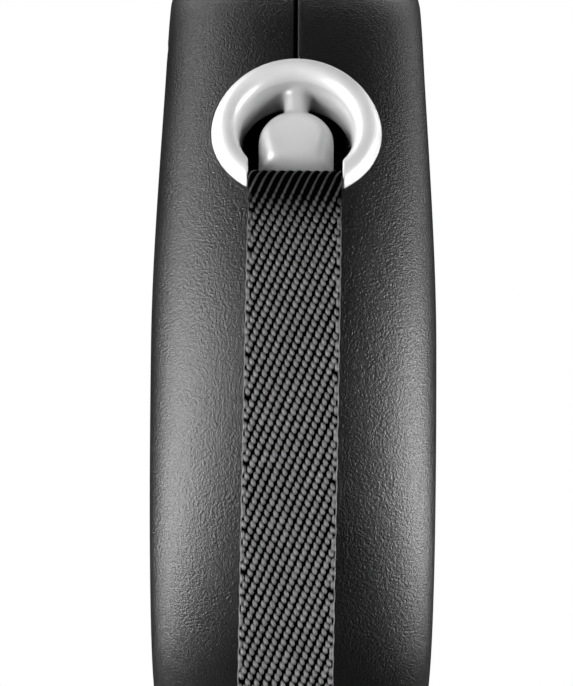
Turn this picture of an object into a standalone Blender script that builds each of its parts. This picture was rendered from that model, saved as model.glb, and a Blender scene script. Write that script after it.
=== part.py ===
"""Retractable leash with a 15 mm tape, held in the hand by its closed handle.

Every piece is drawn around the reel's axle (x across the casing, y towards the handle,
z up) and the finished set is moved so that the origin lies in the middle of the grip.
"""
import math

import bmesh
import bpy
from mathutils import Matrix, Vector

MM = 0.001

# Casing ------------------------------------------------------------------------------
HALF = 22.25            # half the casing's thickness at the drum
RIM = 10.2              # how far in the rounding of the rim reaches, seen from the side
FLAT = 0.5              # half height of the rim's straight band before widening
WALL = 2.4
GAP = 0.3               # between pieces that touch
CROWN = 1.65            # the casing gets this much thinner a side from here up to its top
CROWN_FROM, CROWN_SPAN = 12.0, 56.0
GRIP_SHARE = 0.68       # thickness of the handle against the drum
NOSE_RADIUS = 102.0     # front of the casing, from the nozzle down to its foremost line
NOSE_Y, NOSE_Z = 48.0, -5.0
BELLY_RADIUS = 50.0     # round front bottom of the casing
BELLY_Y, BELLY_Z = -4.0, -5.0
GRIP_Y, GRIP_Z = 98.0, 9.0      # middle of the grip, where the origin goes

# Nozzle ------------------------------------------------------------------------------
NOZZLE_Y, NOZZLE_Z = -39.985, 46.598
NOZZLE_TILT = 30.0      # the mouth looks this far above the horizontal
RING_R = 13.55
THROAT_R = 8.75
RING_DEPTH = 10.5
SILL = 7.69             # depth of the flat floor that the tape runs on
LIP_R = 3.2             # rounding of the lip that the tape bends over
SLOT_HALF = 7.8
KNOB_W, KNOB_H, KNOB_T = 11.8, 11.27, 5.5
KNOB_TOP = 5.28         # height of its round top over the nozzle's axis
NECK_W = 3.7

# Tape and reel -----------------------------------------------------------------------
TAPE_W, TAPE_T = 15.0, 1.0
FLANGE_R, FLANGE_T = 48.0, 1.6
REEL_IN = 8.3           # half the gap between the flanges
PACK_R = 45.0           # five metres of tape wound on the hub
HUB_R, HUB_WALL = 22.0, 1.6
TEETH, TOOTH_H = 24, 2.6
AXLE_R = 4.0
AXLE_HALF = 19.2
SPRING_HALF = 7.0
SPRING_TURNS = 13

# Leash end ---------------------------------------------------------------------------
LOOP_TOP = -104.0       # where the sewn, doubled end begins
BAR_Z = -150.0          # bar of the snap hook's eye
BAR_R = 1.8

# Brake -------------------------------------------------------------------------------
BRAKE_Y, BRAKE_Z, BRAKE_TILT = 6.0, 79.0, 0.0
TOOTH_PHASE = 2.25      # turns the teeth so that the pawl drops between two of them

SCREWS = ((-16.0, 58.0), (40.0, 64.5), (76.0, 46.5), (97.0, -10.0), (62.0, -39.5))

for ob in list(bpy.data.objects):
    bpy.data.objects.remove(ob, do_unlink=True)
PARTS = bpy.data.collections.new("retractable_leash")
CUTS = bpy.data.collections.new("cutters")
for group in (PARTS, CUTS):
    bpy.context.scene.collection.children.link(group)


# Materials ---------------------------------------------------------------------------
def material(name, colour, rough, metal=0.0):
    mat = bpy.data.materials.new(name)
    mat.use_nodes = True
    mat.diffuse_color = (*colour, 1.0)
    node = mat.node_tree.nodes["Principled BSDF"]
    node.inputs["Base Color"].default_value = (*colour, 1.0)
    node.inputs["Roughness"].default_value = rough
    node.inputs["Metallic"].default_value = metal
    return mat


BLACK = material("black_abs", (0.022, 0.022, 0.023), 0.42)
SILVER = material("silver_plastic", (0.72, 0.72, 0.73), 0.3)
WEB = material("black_webbing", (0.03, 0.03, 0.032), 0.8)
GREY = material("grey_pom", (0.45, 0.45, 0.46), 0.45)
STEEL = material("spring_steel", (0.5, 0.5, 0.52), 0.3, 1.0)
CHROME = material("chromed_zinc", (0.8, 0.8, 0.82), 0.12, 1.0)
RUBBER = material("black_rubber", (0.03, 0.03, 0.03), 0.7)


# Helpers -----------------------------------------------------------------------------
def obj_from(bm, name, mat=None, cutter=False):
    bmesh.ops.recalc_face_normals(bm, faces=bm.faces)
    mesh = bpy.data.meshes.new(name)
    bm.to_mesh(mesh)
    bm.free()
    return obj_mesh(mesh, name, mat, cutter)


def obj_mesh(mesh, name, mat=None, cutter=False):
    mesh.name = name
    ob = bpy.data.objects.new(name, mesh)
    (CUTS if cutter else PARTS).objects.link(ob)
    if cutter:
        ob.hide_render = True
        ob.display_type = "WIRE"
    elif mat:
        mesh.materials.clear()
        mesh.materials.append(mat)
    return ob


def box(bm, size, centre, turn=None, bevel=0.0, segments=2):
    """A block in millimetres, optionally turned and with rounded edges."""
    made = bmesh.ops.create_cube(bm, size=1.0)["verts"]
    bmesh.ops.scale(bm, verts=made, vec=size)
    if bevel:
        edges = list({e for v in made for e in v.link_edges})
        made = bmesh.ops.bevel(bm, geom=edges, offset=bevel, segments=segments, profile=0.5,
                               affect="EDGES")["verts"]
        made = list({v for v in made} | {w for v in made for e in v.link_edges for w in e.verts})
    if turn:
        bmesh.ops.transform(bm, verts=made, matrix=turn)
    bmesh.ops.translate(bm, verts=made, vec=centre)
    return made


def rod(bm, radius, x0, x1, y=0.0, z=0.0, sides=24, radius2=None):
    """A cylinder along x."""
    mat = Matrix.Translation(((x0 + x1) / 2, y, z)) @ Matrix.Rotation(math.radians(90), 4, "Y")
    return bmesh.ops.create_cone(bm, cap_ends=True, segments=sides, radius1=radius,
                                 radius2=radius if radius2 is None else radius2,
                                 depth=x1 - x0, matrix=mat)["verts"]


def post(bm, radius, z0, z1, x=0.0, y=0.0, sides=24, radius2=None):
    """A cylinder along z."""
    mat = Matrix.Translation((x, y, (z0 + z1) / 2))
    return bmesh.ops.create_cone(bm, cap_ends=True, segments=sides, radius1=radius,
                                 radius2=radius if radius2 is None else radius2,
                                 depth=z1 - z0, matrix=mat)["verts"]


def spin(bm, profile, sides, axis="X"):
    """A closed ring from a closed profile of (radius, height along the axis)."""
    rings = []
    for i in range(sides):
        a = 2 * math.pi * i / sides
        ring = []
        for r, h in profile:
            p = (h, r * math.cos(a), r * math.sin(a)) if axis == "X" else \
                (r * math.cos(a), r * math.sin(a), h)
            ring.append(bm.verts.new(p))
        rings.append(ring)
    n = len(profile)
    for i in range(sides):
        a, b = rings[i], rings[(i + 1) % sides]
        for j in range(n):
            bm.faces.new((a[j], a[(j + 1) % n], b[(j + 1) % n], b[j]))


def sweep(bm, path, section, across=Vector((1, 0, 0)), closed=False):
    """A closed solid along a path; the section is (across, out) pairs."""
    pts = [Vector(p) for p in path]
    n, rings = len(pts), []
    for i, p in enumerate(pts):
        a = pts[(i - 1) % n] if closed or i else p
        b = pts[(i + 1) % n] if closed or i < n - 1 else p
        along = (b - a).normalized()
        side = (across - along * across.dot(along)).normalized()
        out = along.cross(side)
        rings.append([bm.verts.new(p + side * u + out * v) for u, v in section])
    m = len(section)
    for i in range(n if closed else n - 1):
        a, b = rings[i], rings[(i + 1) % n]
        for j in range(m):
            bm.faces.new((a[j], a[(j + 1) % m], b[(j + 1) % m], b[j]))
    if not closed:
        bm.faces.new(rings[0][::-1])
        bm.faces.new(rings[-1])
    return [v for ring in rings for v in ring]


def disc(radius, sides):
    return [(radius * math.cos(2 * math.pi * i / sides), radius * math.sin(2 * math.pi * i / sides))
            for i in range(sides)]


def flat(width, thick):
    return [(-width / 2, -thick / 2), (width / 2, -thick / 2), (width / 2, thick / 2),
            (-width / 2, thick / 2)]


def helix(bm, wire, radius, length, turns, sides=6, per_turn=10):
    """A coil along z, starting at 0."""
    steps = int(turns * per_turn)
    path = [(radius * math.cos(2 * math.pi * i / per_turn), radius * math.sin(2 * math.pi * i / per_turn),
             wire + (length - 2 * wire) * i / steps) for i in range(steps + 1)]
    return sweep(bm, path, disc(wire, sides), across=Vector((0, 0, 1)))


def combine(ob, other, how):
    mod = ob.modifiers.new(how.lower(), "BOOLEAN")
    mod.operation = how
    mod.solver = "EXACT"
    mod.object = other


def settle(ob):
    """Work out the modifiers, so that the result can be used as a plain solid."""
    deps = bpy.context.evaluated_depsgraph_get()
    mesh = bpy.data.meshes.new_from_object(ob.evaluated_get(deps))
    old = ob.data
    ob.modifiers.clear()
    ob.data = mesh
    bpy.data.meshes.remove(old)
    bm = bmesh.new()
    bm.from_mesh(mesh)
    bmesh.ops.remove_doubles(bm, verts=bm.verts, dist=0.002)
    bmesh.ops.dissolve_degenerate(bm, edges=bm.edges, dist=0.001)
    bm.to_mesh(mesh)
    bm.free()
    return ob


def smooth(ob, angle=35.0):
    for face in ob.data.polygons:
        face.use_smooth = True
    for edge, sharp in zip(ob.data.edges, sharp_edges(ob.data, math.radians(angle))):
        edge.use_edge_sharp = sharp


def sharp_edges(mesh, limit):
    bm = bmesh.new()
    bm.from_mesh(mesh)
    out = [len(e.link_faces) != 2 or e.calc_face_angle(0.0) > limit for e in bm.edges]
    bm.free()
    return out


# Where the casing's outline runs, seen from the side ----------------------------------
def on_arc(cy, cz, radius, degrees):
    a = math.radians(degrees)
    return (cy + radius * math.cos(a), cz + radius * math.sin(a))


def rounded(knots, steps):
    """A smooth closed line through the knots (centripetal spline)."""
    out, n = [], len(knots)
    for i in range(n):
        p = [Vector(knots[(i + k) % n]) for k in (-1, 0, 1, 2)]
        t = [0.0]
        for a, b in zip(p, p[1:]):
            t.append(t[-1] + math.sqrt((b - a).length))
        for s in range(steps):
            u = t[1] + (t[2] - t[1]) * s / steps
            a1 = p[0] * (t[1] - u) / (t[1] - t[0]) + p[1] * (u - t[0]) / (t[1] - t[0])
            a2 = p[1] * (t[2] - u) / (t[2] - t[1]) + p[2] * (u - t[1]) / (t[2] - t[1])
            a3 = p[2] * (t[3] - u) / (t[3] - t[2]) + p[3] * (u - t[2]) / (t[3] - t[2])
            b1 = a1 * (t[2] - u) / (t[2] - t[0]) + a2 * (u - t[0]) / (t[2] - t[0])
            b2 = a2 * (t[3] - u) / (t[3] - t[1]) + a3 * (u - t[1]) / (t[3] - t[1])
            out.append(b1 * (t[2] - u) / (t[2] - t[1]) + b2 * (u - t[1]) / (t[2] - t[1]))
    return out


def body_outline(steps):
    nose = [on_arc(NOSE_Y, NOSE_Z, NOSE_RADIUS, a) for a in (180.0, 165.8, 150.0, 140.4)]
    crown = [(-20.0, 70.6), (-7.0, 77.0), (12.0, 79.4), (34.0, 77.6)]
    handle = [(58.0, 70.0), (82.0, 56.0), (101.0, 35.0), (109.5, 9.0), (105.0, -17.0),
              (88.0, -38.0), (62.0, -50.0), (30.0, -54.4)]
    belly = [on_arc(BELLY_Y, BELLY_Z, BELLY_RADIUS, a) for a in (270.0, 247.0, 224.0, 202.0)]
    return rounded(nose + crown + handle + belly, steps)


def finger_outline(steps):
    drum = [on_arc(0.0, 0.0, 56.0, a) for a in (-24.0, -6.0, 12.0, 30.0)]
    hand = [(41.0, 42.5), (47.5, 48.0), (63.5, 42.0), (78.5, 27.0), (85.0, 9.0), (80.5, -11.5),
            (69.0, -24.5), (57.5, -28.0)]
    return rounded(drum + hand, steps)


def thickness(y, z):
    """Share of the full thickness at a place on the side."""
    s = min(1.0, max(0.0, (z - CROWN_FROM) / CROWN_SPAN))
    share = 1 - CROWN / HALF * s * s * (3 - 2 * s)
    t = min(1.0, max(0.0, (y - 46.0) / 42.0))
    return share * (1 - (1 - GRIP_SHARE) * t * t * (3 - 2 * t))


def slab(name, inset, half, steps, roundness):
    """The casing's outline as a solid with a rounded rim."""
    curve = bpy.data.curves.new(name, "CURVE")
    curve.dimensions = "2D"
    curve.fill_mode = "BOTH"
    for line in (body_outline(steps), finger_outline(steps - 1)):
        spline = curve.splines.new("POLY")
        spline.points.add(len(line) - 1)
        for point, (y, z) in zip(spline.points, line):
            point.co = (y, z, 0.0, 1.0)
        spline.use_cyclic_u = True
    depth = RIM - inset
    curve.offset = -RIM
    curve.bevel_depth = depth
    curve.bevel_resolution = roundness
    curve.extrude = FLAT
    ob = bpy.data.objects.new(name, curve)
    CUTS.objects.link(ob)
    deps = bpy.context.evaluated_depsgraph_get()
    mesh = bpy.data.meshes.new_from_object(ob.evaluated_get(deps))
    bpy.data.objects.remove(ob)
    bm = bmesh.new()
    bm.from_mesh(mesh)
    bmesh.ops.remove_doubles(bm, verts=bm.verts, dist=0.01)
    for v in bm.verts:
        y, z, x = v.co
        v.co = (x / (depth + FLAT) * half * thickness(y, z), y, z)
    bpy.data.meshes.remove(mesh)
    return obj_from(bm, name, cutter=True)


# Nozzle's own directions --------------------------------------------------------------
TILT = math.radians(NOZZLE_TILT)
AXIS = Vector((0, -math.cos(TILT), math.sin(TILT)))
UP = Vector((0, math.sin(TILT), math.cos(TILT)))
MOUTH = Vector((0, NOZZLE_Y, NOZZLE_Z))
TO_NOZZLE = Matrix.Translation(MOUTH) @ Matrix((
    (1, 0, 0, 0), (0, AXIS.y, UP.y, 0), (0, AXIS.z, UP.z, 0), (0, 0, 0, 1)))


def at_nozzle(x, along, up):
    return MOUTH + Vector((x, 0, 0)) + AXIS * along + UP * up


# The brake's own directions -----------------------------------------------------------
LEAN = math.radians(BRAKE_TILT)
BACK = Vector((0, math.cos(LEAN), math.sin(LEAN)))
OUT = Vector((0, -math.sin(LEAN), math.cos(LEAN)))
TO_BRAKE = Matrix.Translation((0, BRAKE_Y, BRAKE_Z)) @ Matrix.Rotation(LEAN, 4, "X")


def at_brake(x, back, out):
    return TO_BRAKE @ Vector((x, back, out))


# Casing halves ------------------------------------------------------------------------
outer = slab("casing_outer", 0.0, HALF, 3, 2)
cavity = slab("casing_cavity", WALL, HALF - WALL, 2, 1)

bm = bmesh.new()
for y, z in SCREWS:
    rod(bm, 3.6, -30, 30, y, z, 16)
SPRING_FOOT = at_brake(0, 2.0, -19.7)
rod(bm, 3.0, -30, -0.6, SPRING_FOOT.y, SPRING_FOOT.z, 14)
PAWL_PIVOT = at_brake(0, 18.5, -17.2)
for side in (-1, 1):
    rod(bm, 8.0, min(side * 14.0, side * 30.0), max(side * 14.0, side * 30.0), sides=24)
    rod(bm, 3.2, min(side * 11.4, side * 30.0), max(side * 11.4, side * 30.0),
        PAWL_PIVOT.y, PAWL_PIVOT.z, 14)
columns = obj_from(bm, "cut_columns", cutter=True)
combine(cavity, columns, "DIFFERENCE")
settle(cavity)

bm = bmesh.new()
rod(bm, AXLE_R + GAP, -AXLE_HALF - GAP, AXLE_HALF + GAP, sides=24)
rod(bm, 1.5 + 0.3, -14.0, 14.0, PAWL_PIVOT.y, PAWL_PIVOT.z, 12)
for y, z in SCREWS:
    rod(bm, 1.5, -18, 11, y, z, 12)
bores = obj_from(bm, "cut_bores", cutter=True)

bm = bmesh.new()
for y, z in SCREWS:
    deep = HALF * thickness(y, z) * 0.93
    rod(bm, 3.1, -30, -deep + 4.5, y, z, 16)
heads = obj_from(bm, "cut_heads", cutter=True)

bm = bmesh.new()
bmesh.ops.create_cone(bm, cap_ends=True, segments=40, radius1=RING_R + GAP, radius2=RING_R + GAP,
                      depth=22.0, matrix=TO_NOZZLE @ Matrix.Translation((0, -5.0, 0))
                      @ Matrix.Rotation(math.radians(90), 4, "X"))
mouth = obj_from(bm, "cut_mouth", cutter=True)

bm = bmesh.new()
box(bm, (16.0, 20.6, 14.0), at_brake(0, 0.0, 0.0), TO_BRAKE.to_3x3().to_4x4(), 1.5)
thumb = obj_from(bm, "cut_thumb", cutter=True)
bm = bmesh.new()
box(bm, (8.6, 14.2, 14.0), at_brake(0, 23.0, 0.0), TO_BRAKE.to_3x3().to_4x4(), 1.0)
lock_hole = obj_from(bm, "cut_lock", cutter=True)

BADGE_R, BADGE_T, BADGE_DEEP = 21.0, 1.2, 1.5
bm = bmesh.new()
for side in (-1, 1):
    a, b = side * (HALF - BADGE_DEEP), side * 30.0
    rod(bm, BADGE_R + GAP, min(a, b), max(a, b), sides=48)
recess = obj_from(bm, "cut_recess", cutter=True)

for cut in (cavity, mouth, thumb, lock_hole, recess, bores, heads):
    combine(outer, cut, "DIFFERENCE")
settle(outer)

for name, side in (("casing_left", -1), ("casing_right", 1)):
    bm = bmesh.new()
    box(bm, (40.0, 240.0, 240.0), (side * (20.0 + GAP / 2), 20.0, 0.0))
    keep = obj_from(bm, "keep_" + name, cutter=True)
    half = obj_mesh(outer.data.copy(), name, BLACK)
    combine(half, keep, "INTERSECT")
    settle(half)
    smooth(half)
bpy.data.objects.remove(outer)

# Side badges --------------------------------------------------------------------------
for name, side in (("badge_left", -1), ("badge_right", 1)):
    bm = bmesh.new()
    a, b = side * (HALF - BADGE_DEEP + GAP), side * (HALF + GAP + BADGE_T - BADGE_DEEP)
    rod(bm, BADGE_R, min(a, b), max(a, b), sides=48)
    smooth(obj_from(bm, name, SILVER))

# Casing screws ------------------------------------------------------------------------
for i, (y, z) in enumerate(SCREWS):
    deep = HALF * thickness(y, z) * 0.93
    bm = bmesh.new()
    profile = [(-deep + 4.5 - GAP - 2.2, 2.8), (-deep + 4.5 - GAP, 2.8), (-deep + 4.5 - GAP, 1.2),
               (9.0, 1.2)]
    prev = None
    centre = bm.verts.new((profile[0][0] + 0.9, y, z))
    last = bm.verts.new((profile[-1][0] + 0.8, y, z))
    slots = []
    for x, r in [(profile[0][0], 1.3)] + profile:
        ring = [bm.verts.new((x, y + r * math.cos(math.tau * k / 12), z + r * math.sin(math.tau * k / 12)))
                for k in range(12)]
        slots.append(ring)
    for a, b in zip(slots, slots[1:]):
        for k in range(12):
            bm.faces.new((a[k], a[(k + 1) % 12], b[(k + 1) % 12], b[k]))
    for k in range(12):
        bm.faces.new((centre, slots[0][k], slots[0][(k + 1) % 12]))
        bm.faces.new((last, slots[-1][(k + 1) % 12], slots[-1][k]))
    smooth(obj_from(bm, "casing_screw_%d" % (i + 1), STEEL))

# Nozzle ring with the neck and the knob that holds the tape down ------------------------
def ring_profile():
    """(radius, along) round the ring's section, from the back of the throat outwards."""
    pts = [(THROAT_R, -RING_DEPTH), (THROAT_R, -6.5), (THROAT_R + 0.25, -4.6), (THROAT_R + 0.9, -2.4)]
    cr, cl, rr = 11.5, -1.2, 2.0
    for a in (150.0, 118.0, 90.0, 62.0, 32.0, 4.0):
        pts.append((cr + rr * math.cos(math.radians(a)), cl + rr * math.sin(math.radians(a))))
    pts.append((RING_R, -RING_DEPTH))
    return pts


bm = bmesh.new()
spin(bm, [(r, -h) for r, h in ring_profile()], 44, "Z")
for v in bm.verts:                       # from a ring along z to one along the nozzle's axis
    x, y, h = v.co
    v.co = TO_NOZZLE @ Vector((x, -h - 0.0073 * x * x, y))
ring = obj_from(bm, "nozzle_ring", SILVER)

bm = bmesh.new()                         # flat floor with its rounded lip, under the tape
floor = [(-RING_DEPTH, -14.0), (-RING_DEPTH, -SILL)]
for a in (90.0, 70.0, 50.0, 30.0, 10.0, -12.0):
    floor.append((-LIP_R + LIP_R * math.cos(math.radians(a)),
                  -SILL - LIP_R + LIP_R * math.sin(math.radians(a))))
floor.append((-1.0, -14.0))
for side in (-1, 1):
    for along, up in floor:
        bm.verts.new(at_nozzle(side * 8.6, along, up))
bm.verts.ensure_lookup_table()
n = len(floor)
bm.faces.new([bm.verts[k] for k in range(n)][::-1])
bm.faces.new([bm.verts[n + k] for k in range(n)])
for k in range(n):
    j = (k + 1) % n
    bm.faces.new((bm.verts[k], bm.verts[j], bm.verts[n + j], bm.verts[n + k]))
sill = obj_from(bm, "add_sill", cutter=True)
bm = bmesh.new()
bmesh.ops.create_cone(bm, cap_ends=True, segments=44, radius1=RING_R - 0.1, radius2=RING_R - 0.1,
                      depth=26.0, matrix=TO_NOZZLE @ Matrix.Rotation(math.radians(90), 4, "X"))
within = obj_from(bm, "keep_sill", cutter=True)
combine(sill, within, "INTERSECT")
settle(sill)

bm = bmesh.new()                         # room for the tape above the floor
box(bm, (SLOT_HALF * 2, 16.0, 14.3), at_nozzle(0, -5.1, -SILL - 0.3), TO_NOZZLE.to_3x3().to_4x4())
lane = obj_from(bm, "cut_lane", cutter=True)
bm = bmesh.new()
rod(bm, FLANGE_R + 2.3, -20, 20, sides=48)
round_reel = obj_from(bm, "cut_round_reel", cutter=True)

bm = bmesh.new()                         # knob: an arch with a round top
kr, low = KNOB_W / 2, KNOB_TOP - KNOB_H
arch = [(kr * math.cos(math.radians(a)), KNOB_TOP - kr + kr * math.sin(math.radians(a)))
        for a in range(0, 181, 15)]
arch += [(-kr, low + 1.2), (-kr + 0.35, low + 0.35), (-kr + 1.2, low), (kr - 1.2, low),
         (kr - 0.35, low + 0.35), (kr, low + 1.2)]
front = [bm.verts.new((x, -2.5, u)) for x, u in arch]
rear = [bm.verts.new((x, -2.5 - KNOB_T, u)) for x, u in arch]
bm.faces.new(front)
bm.faces.new(rear[::-1])
for k in range(len(arch)):
    j = (k + 1) % len(arch)
    bm.faces.new((front[j], front[k], rear[k], rear[j]))
bmesh.ops.recalc_face_normals(bm, faces=bm.faces)
edge = [e for e in bm.edges if all(v in front for v in e.verts)]
bmesh.ops.bevel(bm, geom=edge, offset=1.0, segments=3, profile=0.5, affect="EDGES")
for v in bm.verts:
    v.co = TO_NOZZLE @ v.co
knob = obj_from(bm, "add_knob", cutter=True)
bm = bmesh.new()                         # neck
path = [(0, -5.6, 3.2), (0, -5.7, 5.6), (0, -5.9, 7.6), (0, -6.2, 9.8)]
for i, wide in enumerate((1.0, 1.0, 1.08, 1.5)):
    h = path[i]
    for dx, da in ((-1, -1), (1, -1), (1, 1), (-1, 1)):
        bm.verts.new(at_nozzle(dx * NECK_W / 2 * wide, h[1] + da * 1.7 * wide, h[2]))
bm.verts.ensure_lookup_table()
for i in range(3):
    for k in range(4):
        j = (k + 1) % 4
        bm.faces.new((bm.verts[4 * i + k], bm.verts[4 * i + j], bm.verts[4 * i + 4 + j],
                      bm.verts[4 * i + 4 + k]))
bm.faces.new([bm.verts[k] for k in (3, 2, 1, 0)])
bm.faces.new([bm.verts[12 + k] for k in (0, 1, 2, 3)])
neck = obj_from(bm, "add_neck", cutter=True)

combine(ring, lane, "DIFFERENCE")
for extra in (sill, knob, neck):
    combine(ring, extra, "UNION")
combine(ring, round_reel, "DIFFERENCE")
settle(ring)
smooth(ring, 40)

# Reel ----------------------------------------------------------------------------------
def flange_disc(bm, x0, x1, inner, sides_per_tooth=4):
    """A toothed disc: stop teeth round its rim, a hole in the middle."""
    rim = []
    for k in range(TEETH):
        base = 2 * math.pi * k / TEETH + math.radians(TOOTH_PHASE)
        pitch = 2 * math.pi / TEETH
        for share, r in ((0.0, FLANGE_R), (0.30, FLANGE_R), (0.36, FLANGE_R - TOOTH_H),
                         (0.90, FLANGE_R - TOOTH_H)):
            rim.append((r, base + share * pitch))
    hole = len(rim)
    rings = []
    for x in (x0, x1):
        rings.append([bm.verts.new((x, r * math.cos(a), r * math.sin(a))) for r, a in rim])
        rings.append([bm.verts.new((x, inner * math.cos(a), inner * math.sin(a))) for r, a in rim])
    o0, i0, o1, i1 = rings
    for k in range(hole):
        j = (k + 1) % hole
        bm.faces.new((o0[k], o0[j], o1[j], o1[k]))
        bm.faces.new((i0[j], i0[k], i1[k], i1[j]))
        bm.faces.new((o0[j], o0[k], i0[k], i0[j]))
        bm.faces.new((o1[k], o1[j], i1[j], i1[k]))


bm = bmesh.new()
flange_disc(bm, -REEL_IN - FLANGE_T, -REEL_IN, AXLE_R + GAP)
hub = obj_from(bm, "reel_hub", GREY)
bm = bmesh.new()
spin(bm, [(HUB_R - HUB_WALL, -REEL_IN - 0.5), (HUB_R - HUB_WALL, REEL_IN), (HUB_R, REEL_IN),
          (HUB_R, -REEL_IN - 0.5)], 40)
cup = obj_from(bm, "add_cup", cutter=True)
combine(hub, cup, "UNION")
settle(hub)
smooth(hub)

bm = bmesh.new()
flange_disc(bm, REEL_IN + GAP, REEL_IN + GAP + FLANGE_T, HUB_R - HUB_WALL - 1.0)
smooth(obj_from(bm, "reel_flange", GREY))

bm = bmesh.new()
spin(bm, [(AXLE_R + GAP, SPRING_HALF + 0.3), (AXLE_R + GAP, REEL_IN), (HUB_R - HUB_WALL - GAP, REEL_IN),
          (HUB_R - HUB_WALL - GAP, SPRING_HALF + 0.3)], 36)
smooth(obj_from(bm, "spring_cover", GREY))

bm = bmesh.new()
spin(bm, [(HUB_R + GAP, -TAPE_W / 2), (HUB_R + GAP, TAPE_W / 2), (PACK_R, TAPE_W / 2),
          (PACK_R, -TAPE_W / 2)], 48)
smooth(obj_from(bm, "tape_winding", WEB))

bm = bmesh.new()
rod(bm, AXLE_R, -AXLE_HALF, AXLE_HALF, sides=24)
smooth(obj_from(bm, "axle", STEEL))

bm = bmesh.new()
spin(bm, [(AXLE_R + 0.15, -SPRING_HALF), (AXLE_R + 0.15, SPRING_HALF), (6.6, SPRING_HALF),
          (6.6, -SPRING_HALF)], 24)
smooth(obj_from(bm, "spring_arbor", GREY))

bm = bmesh.new()                         # flat spiral spring that winds the tape in
path = []
steps = SPRING_TURNS * 14
for i in range(steps + 1):
    r = 7.1 + (HUB_R - HUB_WALL - 0.5 - 7.1) * i / steps
    a = 2 * math.pi * i / 14
    path.append((0, r * math.cos(a), r * math.sin(a)))
sweep(bm, path, flat(SPRING_HALF * 2 - 0.6, 0.25))
obj_from(bm, "power_spring", STEEL)

bm = bmesh.new()                         # thrust washers that keep the reel in the middle
spin(bm, [(AXLE_R + GAP, -13.7), (AXLE_R + GAP, -10.3), (7.5, -10.3), (7.5, -13.7)], 24)
smooth(obj_from(bm, "bush_left", GREY))
bm = bmesh.new()
spin(bm, [(AXLE_R + GAP, REEL_IN + 0.3), (AXLE_R + GAP, 13.7), (7.5, 13.7), (7.5, REEL_IN + 0.3)], 24)
smooth(obj_from(bm, "bush_right", GREY))

# Tape from the reel to the lip ------------------------------------------------------------
def contour(z, out):
    """A place in front of the casing's nose, at a height."""
    if z < NOSE_Z:
        return Vector((0, NOSE_Y - NOSE_RADIUS - out, z))
    a = math.asin((z - NOSE_Z) / NOSE_RADIUS)
    r = NOSE_RADIUS + out
    return Vector((0, NOSE_Y - r * math.cos(a), NOSE_Z + r * math.sin(a)))


LIP = at_nozzle(0, -LIP_R, -SILL - LIP_R)
BEND = LIP_R + 0.15 + TAPE_T / 2
entry = at_nozzle(0, -9.3, -SILL + 0.15 + TAPE_T / 2)
far = math.hypot(entry.y, entry.z)
lift = math.atan2(entry.z, entry.y) - math.acos((PACK_R + 0.8) / far)
leave = Vector((0, (PACK_R + 0.8) * math.cos(lift), (PACK_R + 0.8) * math.sin(lift)))


def lip_point(degrees):
    a = math.radians(degrees)
    return LIP + Vector((0, BEND * math.cos(a), BEND * math.sin(a)))


bm = bmesh.new()
lead = [leave, leave.lerp(entry, 0.5), leave.lerp(entry, 0.86),
        entry, at_nozzle(0, -7.0, -SILL + 0.15 + TAPE_T / 2), lip_point(60.0)]
sweep(bm, lead, flat(TAPE_W, TAPE_T))
smooth(obj_from(bm, "tape_lead", WEB))

REST = 157.5                             # where the hanging tape leaves the lip
bm = bmesh.new()
arc = [lip_point(63.5 + (REST - 3.5 - 63.5) * k / 8) for k in range(9)]
sweep(bm, arc, flat(TAPE_W, TAPE_T))
smooth(obj_from(bm, "tape_bend", WEB))

HANG = 0.3 + TAPE_T / 2 + 0.25
bm = bmesh.new()
drape = [lip_point(REST), lip_point(REST).lerp(contour(30.0, HANG), 0.45)]
drape += [contour(30.0 - (30.0 - NOSE_Z) * k / 7, HANG) for k in range(8)]
hang_y = drape[-1].y
drape += [Vector((0, hang_y, z)) for z in (-20.0, -45.0, -75.0, LOOP_TOP + GAP)]
sweep(bm, drape, flat(TAPE_W, TAPE_T))
smooth(obj_from(bm, "tape_free", WEB))

# Sewn end: the tape goes round the hook's bar and back on itself ----------------------------
EYE_IN = BAR_R + 0.35
bm = bmesh.new()
loop = []
for k in range(15):
    a = math.radians(118.0 + 304.0 * k / 14)
    loop.append(Vector((0, hang_y + (EYE_IN + TAPE_T / 2) * math.cos(a), BAR_Z + (EYE_IN + TAPE_T / 2) * math.sin(a))))
back = TAPE_T / 2 + 0.12
path = [Vector((0, hang_y - back, LOOP_TOP)), Vector((0, hang_y - back, BAR_Z + 7.0))] + loop + \
       [Vector((0, hang_y + back, BAR_Z + 7.0)), Vector((0, hang_y + back, LOOP_TOP))]
sweep(bm, path, flat(TAPE_W, TAPE_T))
seam = obj_from(bm, "tape_loop", WEB)
bm = bmesh.new()
box(bm, (TAPE_W - 0.6, 0.9, 30.0), (0, hang_y, LOOP_TOP - 18.0))
stitch = obj_from(bm, "add_stitch", cutter=True)
combine(seam, stitch, "UNION")
settle(seam)
smooth(seam)

bm = bmesh.new()                         # moulded sleeve over the seam, stops the end at the nozzle
box(bm, (18.4, 5.6, 15.0), (0, hang_y, LOOP_TOP - 6.0), None, 1.2)
sleeve = obj_from(bm, "seam_sleeve", RUBBER)
bm = bmesh.new()
box(bm, (TAPE_W + 0.6, 2 * back + TAPE_T + 0.6, 30.0), (0, hang_y, LOOP_TOP - 6.0))
slot = obj_from(bm, "cut_sleeve", cutter=True)
combine(sleeve, slot, "DIFFERENCE")
settle(sleeve)
smooth(sleeve)

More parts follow.
